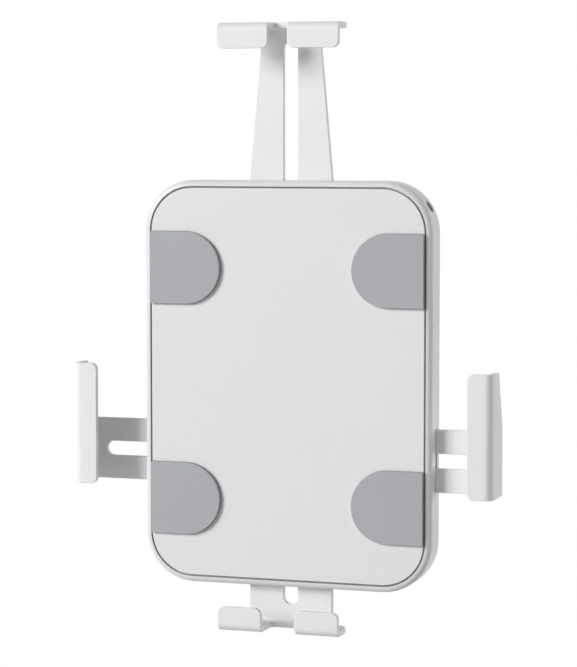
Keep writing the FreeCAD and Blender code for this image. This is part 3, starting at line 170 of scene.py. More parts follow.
class SurfaceEffects:
    """Shader node groups for relief, tone, gloss and painted shade in gaps, each made once."""

    def __init__(self) -> None:
        """Makes the four groups."""
        self.relief = self._make_relief()
        self.tone = self._make_tone()
        self.gloss = self._make_gloss()
        self.painted_gap_shade = self._make_painted_gap_shade()

    @staticmethod
    def _make_relief() -> bpy.types.NodeTree:
        """Height from 0 to 1: fine grain lying on broad soft waves.

        Returns:
            The group.
        """
        group = new_group(
            "surface_relief", "ShaderNodeTree",
            [("Place", "NodeSocketVector", None), ("Grain Size", "NodeSocketFloat", 0.4 * MM),
             ("Wave Size", "NodeSocketFloat", 3 * MM), ("Wave Share", "NodeSocketFloat", 0.5)],
            [("Height", "NodeSocketFloat")])
        graph = Graph(group)
        given = graph.add("NodeGroupInput").outputs
        grain = graph.add("ShaderNodeTexNoise", {
            "Vector": given["Place"], "Scale": graph.math("DIVIDE", 1.0, given["Grain Size"]),
            "Detail": 1.5, "Roughness": 0.6})
        wave = graph.add("ShaderNodeTexNoise", {
            "Vector": given["Place"], "Scale": graph.math("DIVIDE", 1.0, given["Wave Size"]),
            "Detail": 0.0})
        mixed = graph.add("ShaderNodeMix", {
            "Factor": given["Wave Share"], "A": grain.outputs[0], "B": wave.outputs[0]})
        graph.add("NodeGroupOutput", {"Height": mixed.outputs["Result"]})
        return group

    @staticmethod
    def _make_tone() -> bpy.types.NodeTree:
        """A colour that drifts a little from place to place.

        Returns:
            The group.
        """
        group = new_group(
            "tone_drift", "ShaderNodeTree",
            [("Place", "NodeSocketVector", None), ("Colour", "NodeSocketColor", (0.8, 0.8, 0.8, 1)),
             ("Size", "NodeSocketFloat", 30 * MM), ("Amount", "NodeSocketFloat", 0.02)],
            [("Colour", "NodeSocketColor")])
        graph = Graph(group)
        given = graph.add("NodeGroupInput").outputs
        cloud = graph.add("ShaderNodeTexNoise", {
            "Vector": given["Place"], "Scale": graph.math("DIVIDE", 1.0, given["Size"]), "Detail": 3.0})
        drift = graph.math("MULTIPLY", graph.math("SUBTRACT", cloud.outputs[0], 0.5), given["Amount"])
        toned = graph.add("ShaderNodeHueSaturation", {
            "Color": given["Colour"], "Value": graph.math("ADD", drift, 1.0)})
        graph.add("NodeGroupOutput", {"Colour": toned.outputs["Color"]})
        return group

    @staticmethod
    def _make_gloss() -> bpy.types.NodeTree:
        """Roughness that varies in soft patches, as where hands and cloths have been.

        Returns:
            The group.
        """
        group = new_group(
            "gloss_patches", "ShaderNodeTree",
            [("Place", "NodeSocketVector", None), ("Roughness", "NodeSocketFloat", 0.4),
             ("Size", "NodeSocketFloat", 12 * MM), ("Spread", "NodeSocketFloat", 0.05)],
            [("Roughness", "NodeSocketFloat")])
        graph = Graph(group)
        given = graph.add("NodeGroupInput").outputs
        cloud = graph.add("ShaderNodeTexNoise", {
            "Vector": given["Place"], "Scale": graph.math("DIVIDE", 1.0, given["Size"]),
            "Detail": 2.0, "Distortion": 0.6})
        patches = graph.math("MULTIPLY", graph.math("SUBTRACT", cloud.outputs[0], 0.5), given["Spread"])
        graph.add("NodeGroupOutput", {"Roughness": graph.math("ADD", given["Roughness"], patches)})
        return group

    @staticmethod
    def _make_painted_gap_shade() -> bpy.types.NodeTree:
        """A colour that grows darker in narrow gaps and right beside a step: painted shade, found by
        ambient occlusion.

        Returns:
            The group.
        """
        group = new_group(
            "crevice_shade", "ShaderNodeTree",
            [("Colour", "NodeSocketColor", (0.8, 0.8, 0.8, 1)), ("Reach", "NodeSocketFloat", 0.9 * MM),
             ("Amount", "NodeSocketFloat", 0.8)],
            [("Colour", "NodeSocketColor")])
        graph = Graph(group)
        given = graph.add("NodeGroupInput").outputs
        # Painted shade: ambient occlusion darkens the colour where gaps and steps are shaded.
        room = graph.add("ShaderNodeAmbientOcclusion", {"Distance": given["Reach"]}, samples=8)
        closed = graph.math("SUBTRACT", 1.0, room.outputs["AO"])
        kept = graph.math("SUBTRACT", 1.0, graph.math("MULTIPLY", closed, given["Amount"]))
        shaded = graph.add("ShaderNodeHueSaturation", {"Color": given["Colour"], "Value": kept})
        graph.add("NodeGroupOutput", {"Colour": shaded.outputs["Color"]})
        return group


@dataclass(frozen=True)
class Finish:
    """One finish: its colour, gloss and relief. Sizes are those of the real grain."""

    name: str
    colour: Colour
    roughness: float
    grain_size: float
    wave_size: float
    wave_share: float
    relief_depth: float
    tone_amount: float = 0.015
    gloss_spread: float = 0.06
    metallic: float = 0.0
    sheen: float = 0.0
    specular: float = 0.5
    # Painted shade: how strongly the colour darkens in narrow gaps, 0 for none.
    gap_shade: float = 0.0

    def material(self, effects: SurfaceEffects) -> bpy.types.Material:
        """Builds the node material.

        Args:
            effects: the shared shader groups.

        Returns:
            The material, with a Principled shader of its own.
        """
        material = bpy.data.materials.new(self.name)
        material.use_nodes = True
        graph = Graph(material.node_tree)
        shader = material.node_tree.nodes["Principled BSDF"]
        place = graph.add("ShaderNodeTexCoord").outputs["Object"]
        tone = graph.add("ShaderNodeGroup", {
            "Place": place, "Colour": (*self.colour, 1.0), "Amount": self.tone_amount},
            node_tree=effects.tone)
        gloss = graph.add("ShaderNodeGroup", {
            "Place": place, "Roughness": self.roughness, "Spread": self.gloss_spread},
            node_tree=effects.gloss)
        relief = graph.add("ShaderNodeGroup", {
            "Place": place, "Grain Size": self.grain_size, "Wave Size": self.wave_size,
            "Wave Share": self.wave_share}, node_tree=effects.relief)
        bump = graph.add("ShaderNodeBump", {
            "Height": relief.outputs["Height"], "Strength": 1.0, "Distance": self.relief_depth})
        colour = tone.outputs["Colour"]
        # Painted shade: the colour darkens in narrow gaps and beside steps.
        if self.gap_shade > 0:
            colour = graph.add("ShaderNodeGroup", {"Colour": colour, "Amount": self.gap_shade},
                               node_tree=effects.painted_gap_shade).outputs["Colour"]
        graph.join(colour, shader.inputs["Base Color"])
        graph.join(gloss.outputs["Roughness"], shader.inputs["Roughness"])
        graph.join(bump.outputs["Normal"], shader.inputs["Normal"])
        shader.inputs["Metallic"].default_value = self.metallic
        shader.inputs["Sheen Weight"].default_value = self.sheen
        shader.inputs["Specular IOR Level"].default_value = self.specular
        return material


@dataclass(frozen=True)
class Palette:
    """The finishes of this mount."""

    arm: bpy.types.Material
    bracket: bpy.types.Material
    shell: bpy.types.Material
    cover: bpy.types.Material
    pad: bpy.types.Material
    plated: bpy.types.Material
    blackened: bpy.types.Material


def make_palette(effects: SurfaceEffects) -> Palette:
    """Makes every finish of the mount.

    Args:
        effects: the shared shader groups.

    Returns:
        The finished materials.
    """
    powder_coat = Finish("white_powder_coat", (0.885, 0.885, 0.885), roughness=0.42,
                         grain_size=0.35 * MM, wave_size=1.6 * MM, wave_share=0.6,
                         relief_depth=0.012 * MM)
    bracket_coat = Finish("bracket_powder_coat", (0.85, 0.85, 0.85), roughness=0.5,
                          grain_size=0.4 * MM, wave_size=1.8 * MM, wave_share=0.5,
                          relief_depth=0.02 * MM)
    shell_plastic = Finish("white_shell_plastic", (0.79, 0.79, 0.79), roughness=0.28,
                           grain_size=0.6 * MM, wave_size=6 * MM, wave_share=0.5,
                           relief_depth=0.001 * MM, gloss_spread=0.03, gap_shade=0.6)
    cover_plastic = Finish("cover_fine_grain", (0.835, 0.835, 0.835), roughness=0.5,
                           grain_size=0.25 * MM, wave_size=4 * MM, wave_share=0.2,
                           relief_depth=0.008 * MM, gap_shade=0.6)
    pad_rubber = Finish("grey_silicone", (0.453, 0.464, 0.486), roughness=0.72,
                        grain_size=0.3 * MM, wave_size=5 * MM, wave_share=0.25,
                        relief_depth=0.015 * MM, tone_amount=0.04, sheen=0.1, specular=0.35,
                        gap_shade=0.78)
    plated_steel = Finish("zinc_plated_steel", (0.62, 0.63, 0.64), roughness=0.32,
                          grain_size=0.12 * MM, wave_size=0.8 * MM, wave_share=0.3,
                          relief_depth=0.004 * MM, tone_amount=0.12, gloss_spread=0.15, metallic=1.0)
    blackened_steel = Finish("blackened_steel", (0.09, 0.09, 0.095), roughness=0.38,
                             grain_size=0.12 * MM, wave_size=0.8 * MM, wave_share=0.3,
                             relief_depth=0.004 * MM, tone_amount=0.2, gloss_spread=0.15,
                             metallic=0.9)
    return Palette(
        arm=powder_coat.material(effects), bracket=bracket_coat.material(effects),
        shell=shell_plastic.material(effects), cover=cover_plastic.material(effects),
        pad=pad_rubber.material(effects), plated=plated_steel.material(effects),
        blackened=blackened_steel.material(effects))


# Meshes

def plain_mesh(source: bpy.types.Object, name: str) -> bpy.types.Object:
    """Turns what an object's modifiers make into a plain mesh object.

    Args:
        source: the object, which is removed.
        name: the new object's name.

    Returns:
        The new object, at the origin.
    """
    graph = bpy.context.evaluated_depsgraph_get()
    mesh = bpy.data.meshes.new_from_object(
        source.evaluated_get(graph), preserve_all_data_layers=True, depsgraph=graph)
    bpy.data.objects.remove(source)
    mesh.name = name
    piece = bpy.data.objects.new(name, mesh)
    bpy.context.scene.collection.objects.link(piece)
    return piece


@dataclass
class SoftEdges:
    """Rounds the sharp outer edges of a solid, as deburring, paint or a mould's corner does.

    Lengths named as a share are multiples of the radius, and areas are shares of the solid's surface.
    """

    radius: float
    steps: int = 2
    radius_tries: tuple[float, ...] = (1.0, 0.5, 0.25)
    sharpest_flat: float = math.radians(32)
    keenest_round: float = math.radians(125)
    flat_limit: float = math.radians(0.4)
    run_out_share: float = 1.5
    shortest_edge_share: float = 4.5
    stray_share: float = 1.1
    proud_limit: float = 0.005 * MM
    lost_area: float = 0.04
    turned_area: float = 5e-5

    def copy_of(self, node: str) -> bpy.types.Object:
        """Makes a joined-up copy of a CAD node with round edges and smooth shading.

        The flat faces are joined to outlines first, because that rounds best. Where a narrow face
        would then fold over, they stay triangles or the radius shrinks, and at the last the edges
        stay sharp.

        Args:
            node: the CAD node's name.

        Returns:
            The new object, at the origin, named after the node.
        """
        solid = bmesh.new()
        solid.from_mesh(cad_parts[node].data)
        bmesh.ops.remove_doubles(solid, verts=solid.verts, dist=MERGE_DISTANCE)
        tries = [(self.radius * share, joined)
                 for share in self.radius_tries for joined in (True, False)]
        for radius, joined in (*tries, (0.0, False)):
            piece = self._rounded(node, solid, radius, joined)
            if self._is_sound(piece.data, solid):
                break
            bpy.data.objects.remove(piece)
        solid.free()
        return piece

    def _rounded(self, node: str, solid: bmesh.types.BMesh, radius: float,
                 joined: bool) -> bpy.types.Object:
        """Makes one try at the rounded copy.

        Args:
            node: the CAD node's name.
            solid: its merged triangles.
            radius: the radius of the outer edges.
            joined: whether the triangles of flat faces are joined first.

        Returns:
            The object.
        """
        shape = solid.copy()
        if joined:
            bmesh.ops.dissolve_limit(shape, angle_limit=self.flat_limit, verts=shape.verts,
                                     edges=shape.edges, delimit=set())
        self._mark_edges(shape, radius)
        mesh = bpy.data.meshes.new(node)
        shape.to_mesh(mesh)
        shape.free()
        worked = bpy.data.objects.new(f"{node}_worked", mesh)
        bpy.context.scene.collection.objects.link(worked)
        if radius > 0:
            bevel = worked.modifiers.new("round_edges", "BEVEL")
            bevel.limit_method = "WEIGHT"
            bevel.width = radius
            bevel.segments = self.steps
            bevel.use_clamp_overlap = False
            bevel.miter_outer = "MITER_ARC"
        normals = worked.modifiers.new("flat_faces_stay_flat", "WEIGHTED_NORMAL")
        normals.keep_sharp = True
        piece = plain_mesh(worked, f"{node}_finished")
        self._hold_to(piece.data, BVHTree.FromBMesh(solid), radius)
        return piece

    def _mark_edges(self, shape: bmesh.types.BMesh, radius: float) -> None:
        """Marks the outer edges that are rounded, and the inner and knife edges that stay sharp.

        The outer edges are a list in the mesh's own order, so that each run splits them alike.

        Args:
            shape: the solid's mesh.
            radius: the radius of the outer edges.
        """
        layers = shape.edges.layers.float
        weights = layers.get("bevel_weight_edge") or layers.new("bevel_weight_edge")
        bends = {edge: edge.calc_face_angle_signed(0.0) for edge in shape.edges}
        outer = [edge for edge, bend in bends.items()
                 if self.sharpest_flat < bend < self.keenest_round]
        sharp = {edge for edge, bend in bends.items()
                 if bend < -self.sharpest_flat or bend >= self.keenest_round}
        left_sharp = sharp if radius > 0 else sharp.union(outer)
        nooks = {vertex for edge in sharp for vertex in edge.verts}
        for edge in shape.edges:
            edge.smooth = edge not in left_sharp
        for edge in outer:
            edge[weights] = 1.0
        for edge in outer:
            ends = [vertex for vertex in edge.verts if vertex in nooks]
            self._stop_before(edge, ends, radius, weights)
        for face in shape.faces:
            face.smooth = True

    def _stop_before(self, edge: bmesh.types.BMEdge, nooks: list[bmesh.types.BMVert], radius: float,
                     weights: bmesh.types.BMLayerItem) -> None:
        """Ends the rounding of an edge a little before each corner where an inner edge meets it.

        Args:
            edge: the outer edge.
            nooks: those of its ends that are such corners.
            radius: the radius of the outer edges.
            weights: the layer that tells which edges are rounded.
        """
        run_out = self.run_out_share * radius
        for nook in nooks:
            if edge.calc_length() < self.shortest_edge_share * radius or radius == 0:
                edge[weights] = 0.0
                edge.smooth = False
                return
            stub, _ = bmesh.utils.edge_split(edge, nook, run_out / edge.calc_length())
            kept, short = (edge, stub) if nook in stub.verts else (stub, edge)
            short[weights] = 0.0
            short.smooth = False
            edge = kept

    def _hold_to(self, mesh: bpy.types.Mesh, solid: BVHTree, radius: float) -> None:
        """Puts stray corners of the rounding back on the solid's surface.

        Args:
            mesh: the rounded mesh.
            solid: the solid's surface before rounding.
            radius: the radius of the outer edges.
        """
        for vertex in mesh.vertices:
            place, normal, _, distance = solid.find_nearest(vertex.co)
            outside = (vertex.co - place).dot(normal) > self.proud_limit
            if outside or distance > radius * self.stray_share:
                vertex.co = place

    def _is_sound(self, mesh: bpy.types.Mesh, solid: bmesh.types.BMesh) -> bool:
        """Tells whether the rounding filled every face and turned none over.

        Args:
            mesh: the rounded mesh.
            solid: the solid before rounding.

        Returns:
            True if the mesh can be kept.
        """
        mesh.calc_loop_triangles()
        filled, turned = 0.0, 0.0
        for triangle in mesh.loop_triangles:
            first, second, third = (mesh.vertices[index].co for index in triangle.vertices)
            filled += triangle.area
            face_normal = mesh.polygons[triangle.polygon_index].normal
            if (second - first).cross(third - first).dot(face_normal) < 0:
                turned += triangle.area
        area = sum(face.calc_area() for face in solid.faces)
        return abs(filled - area) < self.lost_area * area and turned < self.turned_area * area


def dress(piece: bpy.types.Object, body: str, material: bpy.types.Material,
          nodes: Iterable[str]) -> bpy.types.Object:
    """Gives a finished piece its material, its body and the CAD nodes that it stands for.

    Args:
        piece: the finished mesh object.
        body: the CAD body that it rides on.
        material: its finish.
        nodes: the CAD nodes that it replaces.

    Returns:
        The piece.
    """
    piece.data.materials.clear()
    piece.data.materials.append(material)
    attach(piece, body)
    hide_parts(*nodes)
    log.info("%s: %d faces, stands for %s", piece.name, len(piece.data.polygons), ", ".join(nodes))
    return piece


# Screws, drawn by a node tree

@dataclass(frozen=True)
class ScrewSize:
    """Sizes of one kind of screw. Its head starts at z = 0 and its tip points along +Z."""

    head_radius: float
    head_height: float
    crown: float
    socket_width: float
    socket_depth: float
    shank_radius: float
    shank_length: float
    pitch: float
    thread_depth: float
    sides: int = 48

    def inputs(self) -> dict[str, float]:
        """Lists the values of the node tree's inputs.

        Returns:
            The values by the names of the inputs.
        """
        return {"Head Radius": self.head_radius, "Head Height": self.head_height,
                "Crown": self.crown, "Socket Width": self.socket_width,
                "Socket Depth": self.socket_depth, "Shank Radius": self.shank_radius,
                "Shank Length": self.shank_length, "Pitch": self.pitch,
                "Thread Depth": self.thread_depth, "Sides": self.sides}


class ScrewTree:
    """A node tree that turns a profile into a socket screw and sets one on every point.

    The profile is a grid whose columns go round the axis and whose rows go from the socket's bottom
    over the head to the tip. Two rules wind the thread and make the socket six-sided.
    """

    crown_rows: int = 5
    thread_rows: int = 66
    thread_fade: float = 0.04
    sharp_bend: float = math.radians(38)
    seed: int = 4

    def __init__(self) -> None:
        """Builds the tree."""
        number = "NodeSocketFloat"
        sizes = ("Head Radius", "Head Height", "Crown", "Socket Width", "Socket Depth", "Shank Radius",
                 "Shank Length", "Pitch", "Thread Depth")
        self.tree = new_group(
            "socket_screws", "GeometryNodeTree",
            [("Points", "NodeSocketGeometry", None), *((name, number, 1 * MM) for name in sizes),
             ("Sides", "NodeSocketInt", 48), ("Direction", "NodeSocketVector", (0.0, 0.0, 1.0)),
             ("Seed", "NodeSocketInt", self.seed), ("Material", "NodeSocketMaterial", None)],
            [("Geometry", "NodeSocketGeometry")])
        self.graph = Graph(self.tree)
        self.given = self.graph.add("NodeGroupInput").outputs
        screw = self._smooth(self._turned_profile())
        self._set_on_points(screw)

    def _turned_profile(self) -> bpy.types.NodeSocket:
        """Makes the closed screw.

        Returns:
            The geometry.
        """
        graph, given = self.graph, self.given
        sections, rows = self._sections()
        grid = graph.add("GeometryNodeMeshGrid", {
            "Size X": 1.0, "Size Y": 1.0, "Vertices X": graph.math("ADD", given["Sides"], 1.0),
            "Vertices Y": rows + 1})
        position = graph.add("GeometryNodeInputPosition")
        place = graph.add("ShaderNodeSeparateXYZ", {0: position.outputs[0]})
        turn = graph.math("MULTIPLY", graph.math("ADD", place.outputs["X"], 0.5), math.tau)
        row = graph.math("MULTIPLY", graph.math("ADD", place.outputs["Y"], 0.5), float(rows))
        radius, level, hexagonal, threaded = self._profile_at(row, sections)
        across = graph.math("PINGPONG", turn, math.pi / 6)
        corner = graph.math("COSINE", graph.math("SUBTRACT", across, math.pi / 6))
        six_sided = graph.math("DIVIDE", 1.0, corner)
        factor = graph.add("ShaderNodeMix", {
            "Factor": hexagonal, "A": 1.0, "B": six_sided}).outputs["Result"]
        phase = graph.math("SUBTRACT", graph.math("DIVIDE", level, given["Pitch"]),
                           graph.math("DIVIDE", turn, math.tau))
        groove = graph.math("MULTIPLY", graph.math("PINGPONG", phase, 0.5), 2.0)
        cut = graph.math("MULTIPLY", graph.math("MULTIPLY", groove, given["Thread Depth"]), threaded)
        reach = graph.math("SUBTRACT", graph.math("MULTIPLY", radius, factor), cut)
        moved = graph.add("ShaderNodeCombineXYZ", {
            0: graph.math("MULTIPLY", reach, graph.math("COSINE", turn)),
            1: graph.math("MULTIPLY", reach, graph.math("SINE", turn)), 2: level})
        shaped = graph.add("GeometryNodeSetPosition", {"Geometry": grid.outputs["Mesh"],
                                                       "Position": moved.outputs[0]})
        closed = graph.add("GeometryNodeMergeByDistance", {"Geometry": shaped.outputs[0],
                                                           "Distance": MERGE_DISTANCE})
        return closed.outputs[0]

    def _sections(self) -> tuple[list[tuple], int]:
        """Lists the profile's sections.

        Returns:
            First row, last row, step of the radius, step of the height and kind of each section, and
            the number of rows.
        """
        given, graph = self.given, self.graph
        socket = graph.math("DIVIDE", given["Socket Width"], 2.0)
        chamfer = given["Thread Depth"]
        crown_start = graph.math("SUBTRACT", given["Head Radius"], given["Crown"])
        flat = graph.math("SUBTRACT", crown_start, socket)
        shoulder = graph.math("SUBTRACT", given["Shank Radius"], given["Head Radius"])
        straight = graph.math("SUBTRACT", given["Shank Length"], chamfer)
        tip = graph.math("SUBTRACT", given["Shank Radius"], chamfer)
        steps = [(1, socket, 0.0, "socket"),
                 (1, 0.0, graph.math("MULTIPLY", given["Socket Depth"], -1.0), "wall"),
                 (1, flat, 0.0, "face"), (self.crown_rows, given["Crown"], given["Crown"], "crown"),
                 (1, 0.0, graph.math("SUBTRACT", given["Head Height"], given["Crown"]), "side"),
                 (1, shoulder, 0.0, "shoulder"), (self.thread_rows, 0.0, straight, "thread"),
                 (1, graph.math("MULTIPLY", chamfer, -1.0), chamfer, "tip"),
                 (1, graph.math("MULTIPLY", tip, -1.0), 0.0, "end")]
        sections, first = [], 0
        for rows, out, along, kind in steps:
            sections.append((first, first + rows, out, along, kind))
            first += rows
        return sections, first

    def _profile_at(self, row: bpy.types.NodeSocket, sections: list[tuple]) -> tuple:
        """Adds up the sections that lie before a row.

        Args:
            row: the row's number.
            sections: the profile's sections.

        Returns:
            Radius, height, share of the six-sided rule and share of the thread rule.
        """
        graph, given = self.graph, self.given
        radius: object = 0.0
        level: object = graph.math("SUBTRACT", given["Socket Depth"], given["Head Height"])
        hexagonal: object = 0.0
        threaded: object = 0.0
        for first, last, out, along, kind in sections:
            done = graph.add("ShaderNodeMapRange", {"Value": row, "From Min": float(first),
                                                    "From Max": float(last)}).outputs["Result"]
            sideways, ahead = done, done
            if kind == "crown":
                angle = graph.math("MULTIPLY", done, math.pi / 2)
                sideways = graph.math("SINE", angle)
                ahead = graph.math("SUBTRACT", 1.0, graph.math("COSINE", angle))
            if kind == "socket":
                hexagonal = done
            if kind == "face":
                hexagonal = graph.math("SUBTRACT", hexagonal, done)
            if kind == "thread":
                fade_in = graph.add("ShaderNodeMapRange", {
                    "Value": done, "From Max": self.thread_fade})
                fade_out = graph.add("ShaderNodeMapRange", {
                    "Value": done, "From Min": 1.0, "From Max": 1.0 - self.thread_fade})
                threaded = graph.math("MULTIPLY", fade_in.outputs["Result"], fade_out.outputs["Result"])
            radius = graph.math("MULTIPLY_ADD", sideways, out, radius)
            level = graph.math("MULTIPLY_ADD", ahead, along, level)
        return radius, level, hexagonal, threaded

    def _smooth(self, screw: bpy.types.NodeSocket) -> bpy.types.NodeSocket:
        """Shades the screw smooth, with its real edges left sharp.

        Args:
            screw: the closed screw.

        Returns:
            The geometry.
        """
        graph = self.graph
        faces = graph.add("GeometryNodeSetShadeSmooth", {"Geometry": screw}, domain="FACE")
        bend = graph.add("GeometryNodeInputMeshEdgeAngle").outputs["Unsigned Angle"]
        soft = graph.add("FunctionNodeCompare", {0: bend, 1: self.sharp_bend}, operation="LESS_THAN")
        edges = graph.add("GeometryNodeSetShadeSmooth", {
            "Geometry": faces.outputs[0], "Shade Smooth": soft.outputs[0]}, domain="EDGE")
        return edges.outputs[0]

    def _set_on_points(self, screw: bpy.types.NodeSocket) -> None:
        """Sets a screw on every point, each turned a little differently round its axis.

        Args:
            screw: the finished screw.
        """
        graph, given = self.graph, self.given
        aim = graph.add("FunctionNodeAlignRotationToVector", {"Vector": given["Direction"]}, axis="Z")
        chance = graph.add("FunctionNodeRandomValue", {2: 0.0, 3: math.tau / 6, "Seed": given["Seed"]},
                           data_type="FLOAT")
        spin = graph.add("FunctionNodeAxisAngleToRotation", {
            "Axis": (0.0, 0.0, 1.0), "Angle": chance.outputs[1]})
        turned = graph.add("FunctionNodeRotateRotation", {0: aim.outputs[0], 1: spin.outputs[0]},
                           rotation_space="LOCAL")
        placed = graph.add("GeometryNodeInstanceOnPoints", {
            "Points": given["Points"], "Instance": screw, "Rotation": turned.outputs[0]})
        real = graph.add("GeometryNodeRealizeInstances", {0: placed.outputs[0]})
        dressed = graph.add("GeometryNodeSetMaterial", {
            "Geometry": real.outputs[0], "Material": given["Material"]})
        graph.add("NodeGroupOutput", {"Geometry": dressed.outputs[0]})

    def build(self, name: str, size: ScrewSize, places: list[Vector], direction: Vector,
              material: bpy.types.Material) -> bpy.types.Object:
        """Makes one mesh with a screw at every place.

        Args:
            name: the piece's name.
            size: the screw's sizes.
            places: the middle of the underside of each head.
            direction: where the tips point.
            material: the screw's finish.

        Returns:
            The piece.
        """
        mesh = bpy.data.meshes.new(f"{name}_points")
        mesh.from_pydata([tuple(place) for place in places], [], [])
        points = bpy.data.objects.new(f"{name}_points", mesh)
        bpy.context.scene.collection.objects.link(points)
        modifier = points.modifiers.new("screws", "NODES")
        modifier.node_group = self.tree
        values = {**size.inputs(), "Direction": tuple(direction), "Seed": self.seed,
                  "Material": material}
        for item in self.tree.interface.items_tree:
            if item.in_out == "INPUT" and item.name in values:
                modifier[item.identifier] = values[item.name]
        return plain_mesh(points, name)


# Sub-assemblies

@dataclass
class Arms:
    """The four sliding arms, folded from sheet steel and powder coated."""

    edge: SoftEdges
    names: tuple[str, ...] = ("top_arm", "bottom_arm", "left_arm", "right_arm")

    def build(self, palette: Palette) -> list[bpy.types.Object]:
        """Makes the arms. Each is a body of its own.

        Args:
            palette: the mount's finishes.

        Returns:
            The pieces.
        """
        return [dress(self.edge.copy_of(name), name, palette.arm, [name])
                for name in self.names]


@dataclass
class Housing:
    """Front frame, rear shell and cover."""

    moulded_edge: SoftEdges

    def build(self, palette: Palette) -> list[bpy.types.Object]:
        """Makes the three mouldings.

        Args:
            palette: the mount's finishes.

        Returns:
            The pieces.
        """
        as_moulded = SoftEdges(radius=0.0)
        parts = (("front_frame", Slot.SHELL, palette.shell, self.moulded_edge),
                 ("rear_shell", Slot.SHELL, palette.shell, self.moulded_edge),
                 ("front_cover", Slot.COVER, palette.cover, as_moulded))
        return [dress(edge.copy_of(name), "housing", material, [name])
                for name, slot, material, edge in parts]


@dataclass
class GripPads:
    """The four silicone pads that the tablet lies on."""

    edge: SoftEdges

    def build(self, palette: Palette) -> list[bpy.types.Object]:
        """Makes the pads.

        Args:
            palette: the mount's finishes.

        Returns:
            The pieces.
        """
        pieces = []
        for level in Level:
            for side in Side:
                name = f"{level.value}_{side.name.lower()}_pad"
                piece = self.edge.copy_of(name)
                pieces.append(dress(piece, "housing", palette.pad, [name]))
        return pieces


@dataclass
class WallBracket:
    """The plate that is screwed to the wall."""

    edge: SoftEdges

    def build(self, palette: Palette) -> list[bpy.types.Object]:
        """Makes the bracket.

        Args:
            palette: the mount's finishes.

        Returns:
            The piece.
        """
        return [dress(self.edge.copy_of("wall_bracket"), "housing", palette.bracket,
                      ["wall_bracket"])]


@dataclass
class Fasteners:
    """Clamp screws and their plates, the shell screws, and the lock's screw and block."""

    edge: SoftEdges
    clamp_screw: ScrewSize = ScrewSize(
        head_radius=4.98 * MM, head_height=1.8 * MM, crown=0.6 * MM, socket_width=3 * MM,
        socket_depth=2.4 * MM, shank_radius=2.49 * MM, shank_length=7.78 * MM, pitch=0.8 * MM,
        thread_depth=0.4 * MM)
    shell_screw: ScrewSize = ScrewSize(
        head_radius=2.68 * MM, head_height=1.5 * MM, crown=0.45 * MM, socket_width=2 * MM,
        socket_depth=1 * MM, shank_radius=1.39 * MM, shank_length=7.78 * MM, pitch=1 * MM,
        thread_depth=0.3 * MM, sides=36)
    lock_screw: ScrewSize = ScrewSize(
        head_radius=1.99 * MM, head_height=0.5 * MM, crown=0.2 * MM, socket_width=2 * MM,
        socket_depth=3 * MM, shank_radius=1.99 * MM, shank_length=10.96 * MM, pitch=0.7 * MM,
        thread_depth=0.3 * MM, sides=42)
    shell_screw_places: tuple[tuple[float, float], ...] = (
        (-34 * MM, 79 * MM), (34 * MM, 79 * MM), (-34 * MM, -79 * MM), (34 * MM, -79 * MM),
        (-54.5 * MM, 8 * MM), (54.5 * MM, 8 * MM))
    head_inset: float = 0.01 * MM
    lock_corner: tuple[float, float, float] = (43 * MM, -8.5 * MM, 66 * MM)
    lock_angle: float = math.radians(31)
    lock_face: float = 14.68 * MM

    def build(self, palette: Palette) -> list[bpy.types.Object]:
        """Makes the metal pieces inside the housing.

        Args:
            palette: the mount's finishes.

        Returns:
            The pieces.
        """
        screws = ScrewTree()
        ends = ("top", "bottom", "left", "right")
        pieces = [self._clamp_screws(screws, palette, [f"{end}_clamp_screw" for end in ends]),
                  self._shell_screws(screws, palette), self._lock_screw(screws, palette)]
        for name in [f"{end}_clamp_plate" for end in ends] + ["lock_block"]:
            pieces.append(dress(self.edge.copy_of(name), "housing", palette.plated, [name]))
        return pieces

    def _clamp_screws(self, screws: ScrewTree, palette: Palette, nodes: list[str]) -> bpy.types.Object:
        """One screw on the axis of each arm's clamp.

        Args:
            screws: the screw tree.
            palette: the mount's finishes.
            nodes: the CAD nodes of the four screws.

        Returns:
            The piece.
        """
        places = []
        for node in nodes:
            low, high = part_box(node)
            back_face = high.y - self.head_inset
            places.append(Vector(((low.x + high.x) / 2, back_face - self.clamp_screw.head_height,
                                  (low.z + high.z) / 2)))
        piece = screws.build("clamp_screws", self.clamp_screw, places, FORWARDS, palette.plated)
        return dress(piece, "housing", palette.plated, nodes)

    def _shell_screws(self, screws: ScrewTree, palette: Palette) -> bpy.types.Object:
        """The six screws that join the shells.

        Args:
            screws: the screw tree.
            palette: the mount's finishes.

        Returns:
            The piece.
        """
        back_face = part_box("shell_screws")[1].y - self.head_inset
        level = back_face - self.shell_screw.head_height
        places = [Vector((x, level, z)) for x, z in self.shell_screw_places]
        piece = screws.build("shell_screw_set", self.shell_screw, places, FORWARDS, palette.plated)
        return dress(piece, "housing", palette.plated, ["shell_screws"])

    def _lock_screw(self, screws: ScrewTree, palette: Palette) -> bpy.types.Object:
        """The set screw behind the key hole.

        Args:
            screws: the screw tree.
            palette: the mount's finishes.

        Returns:
            The piece.
        """
        outwards = Vector((math.cos(self.lock_angle), 0, math.sin(self.lock_angle)))
        place = Vector(self.lock_corner) + outwards * (self.lock_face - self.lock_screw.head_height)
        piece = screws.build("lock_set_screw", self.lock_screw, [place], -outwards, palette.blackened)
        return dress(piece, "housing", palette.blackened, ["lock_screw"])


# Studio

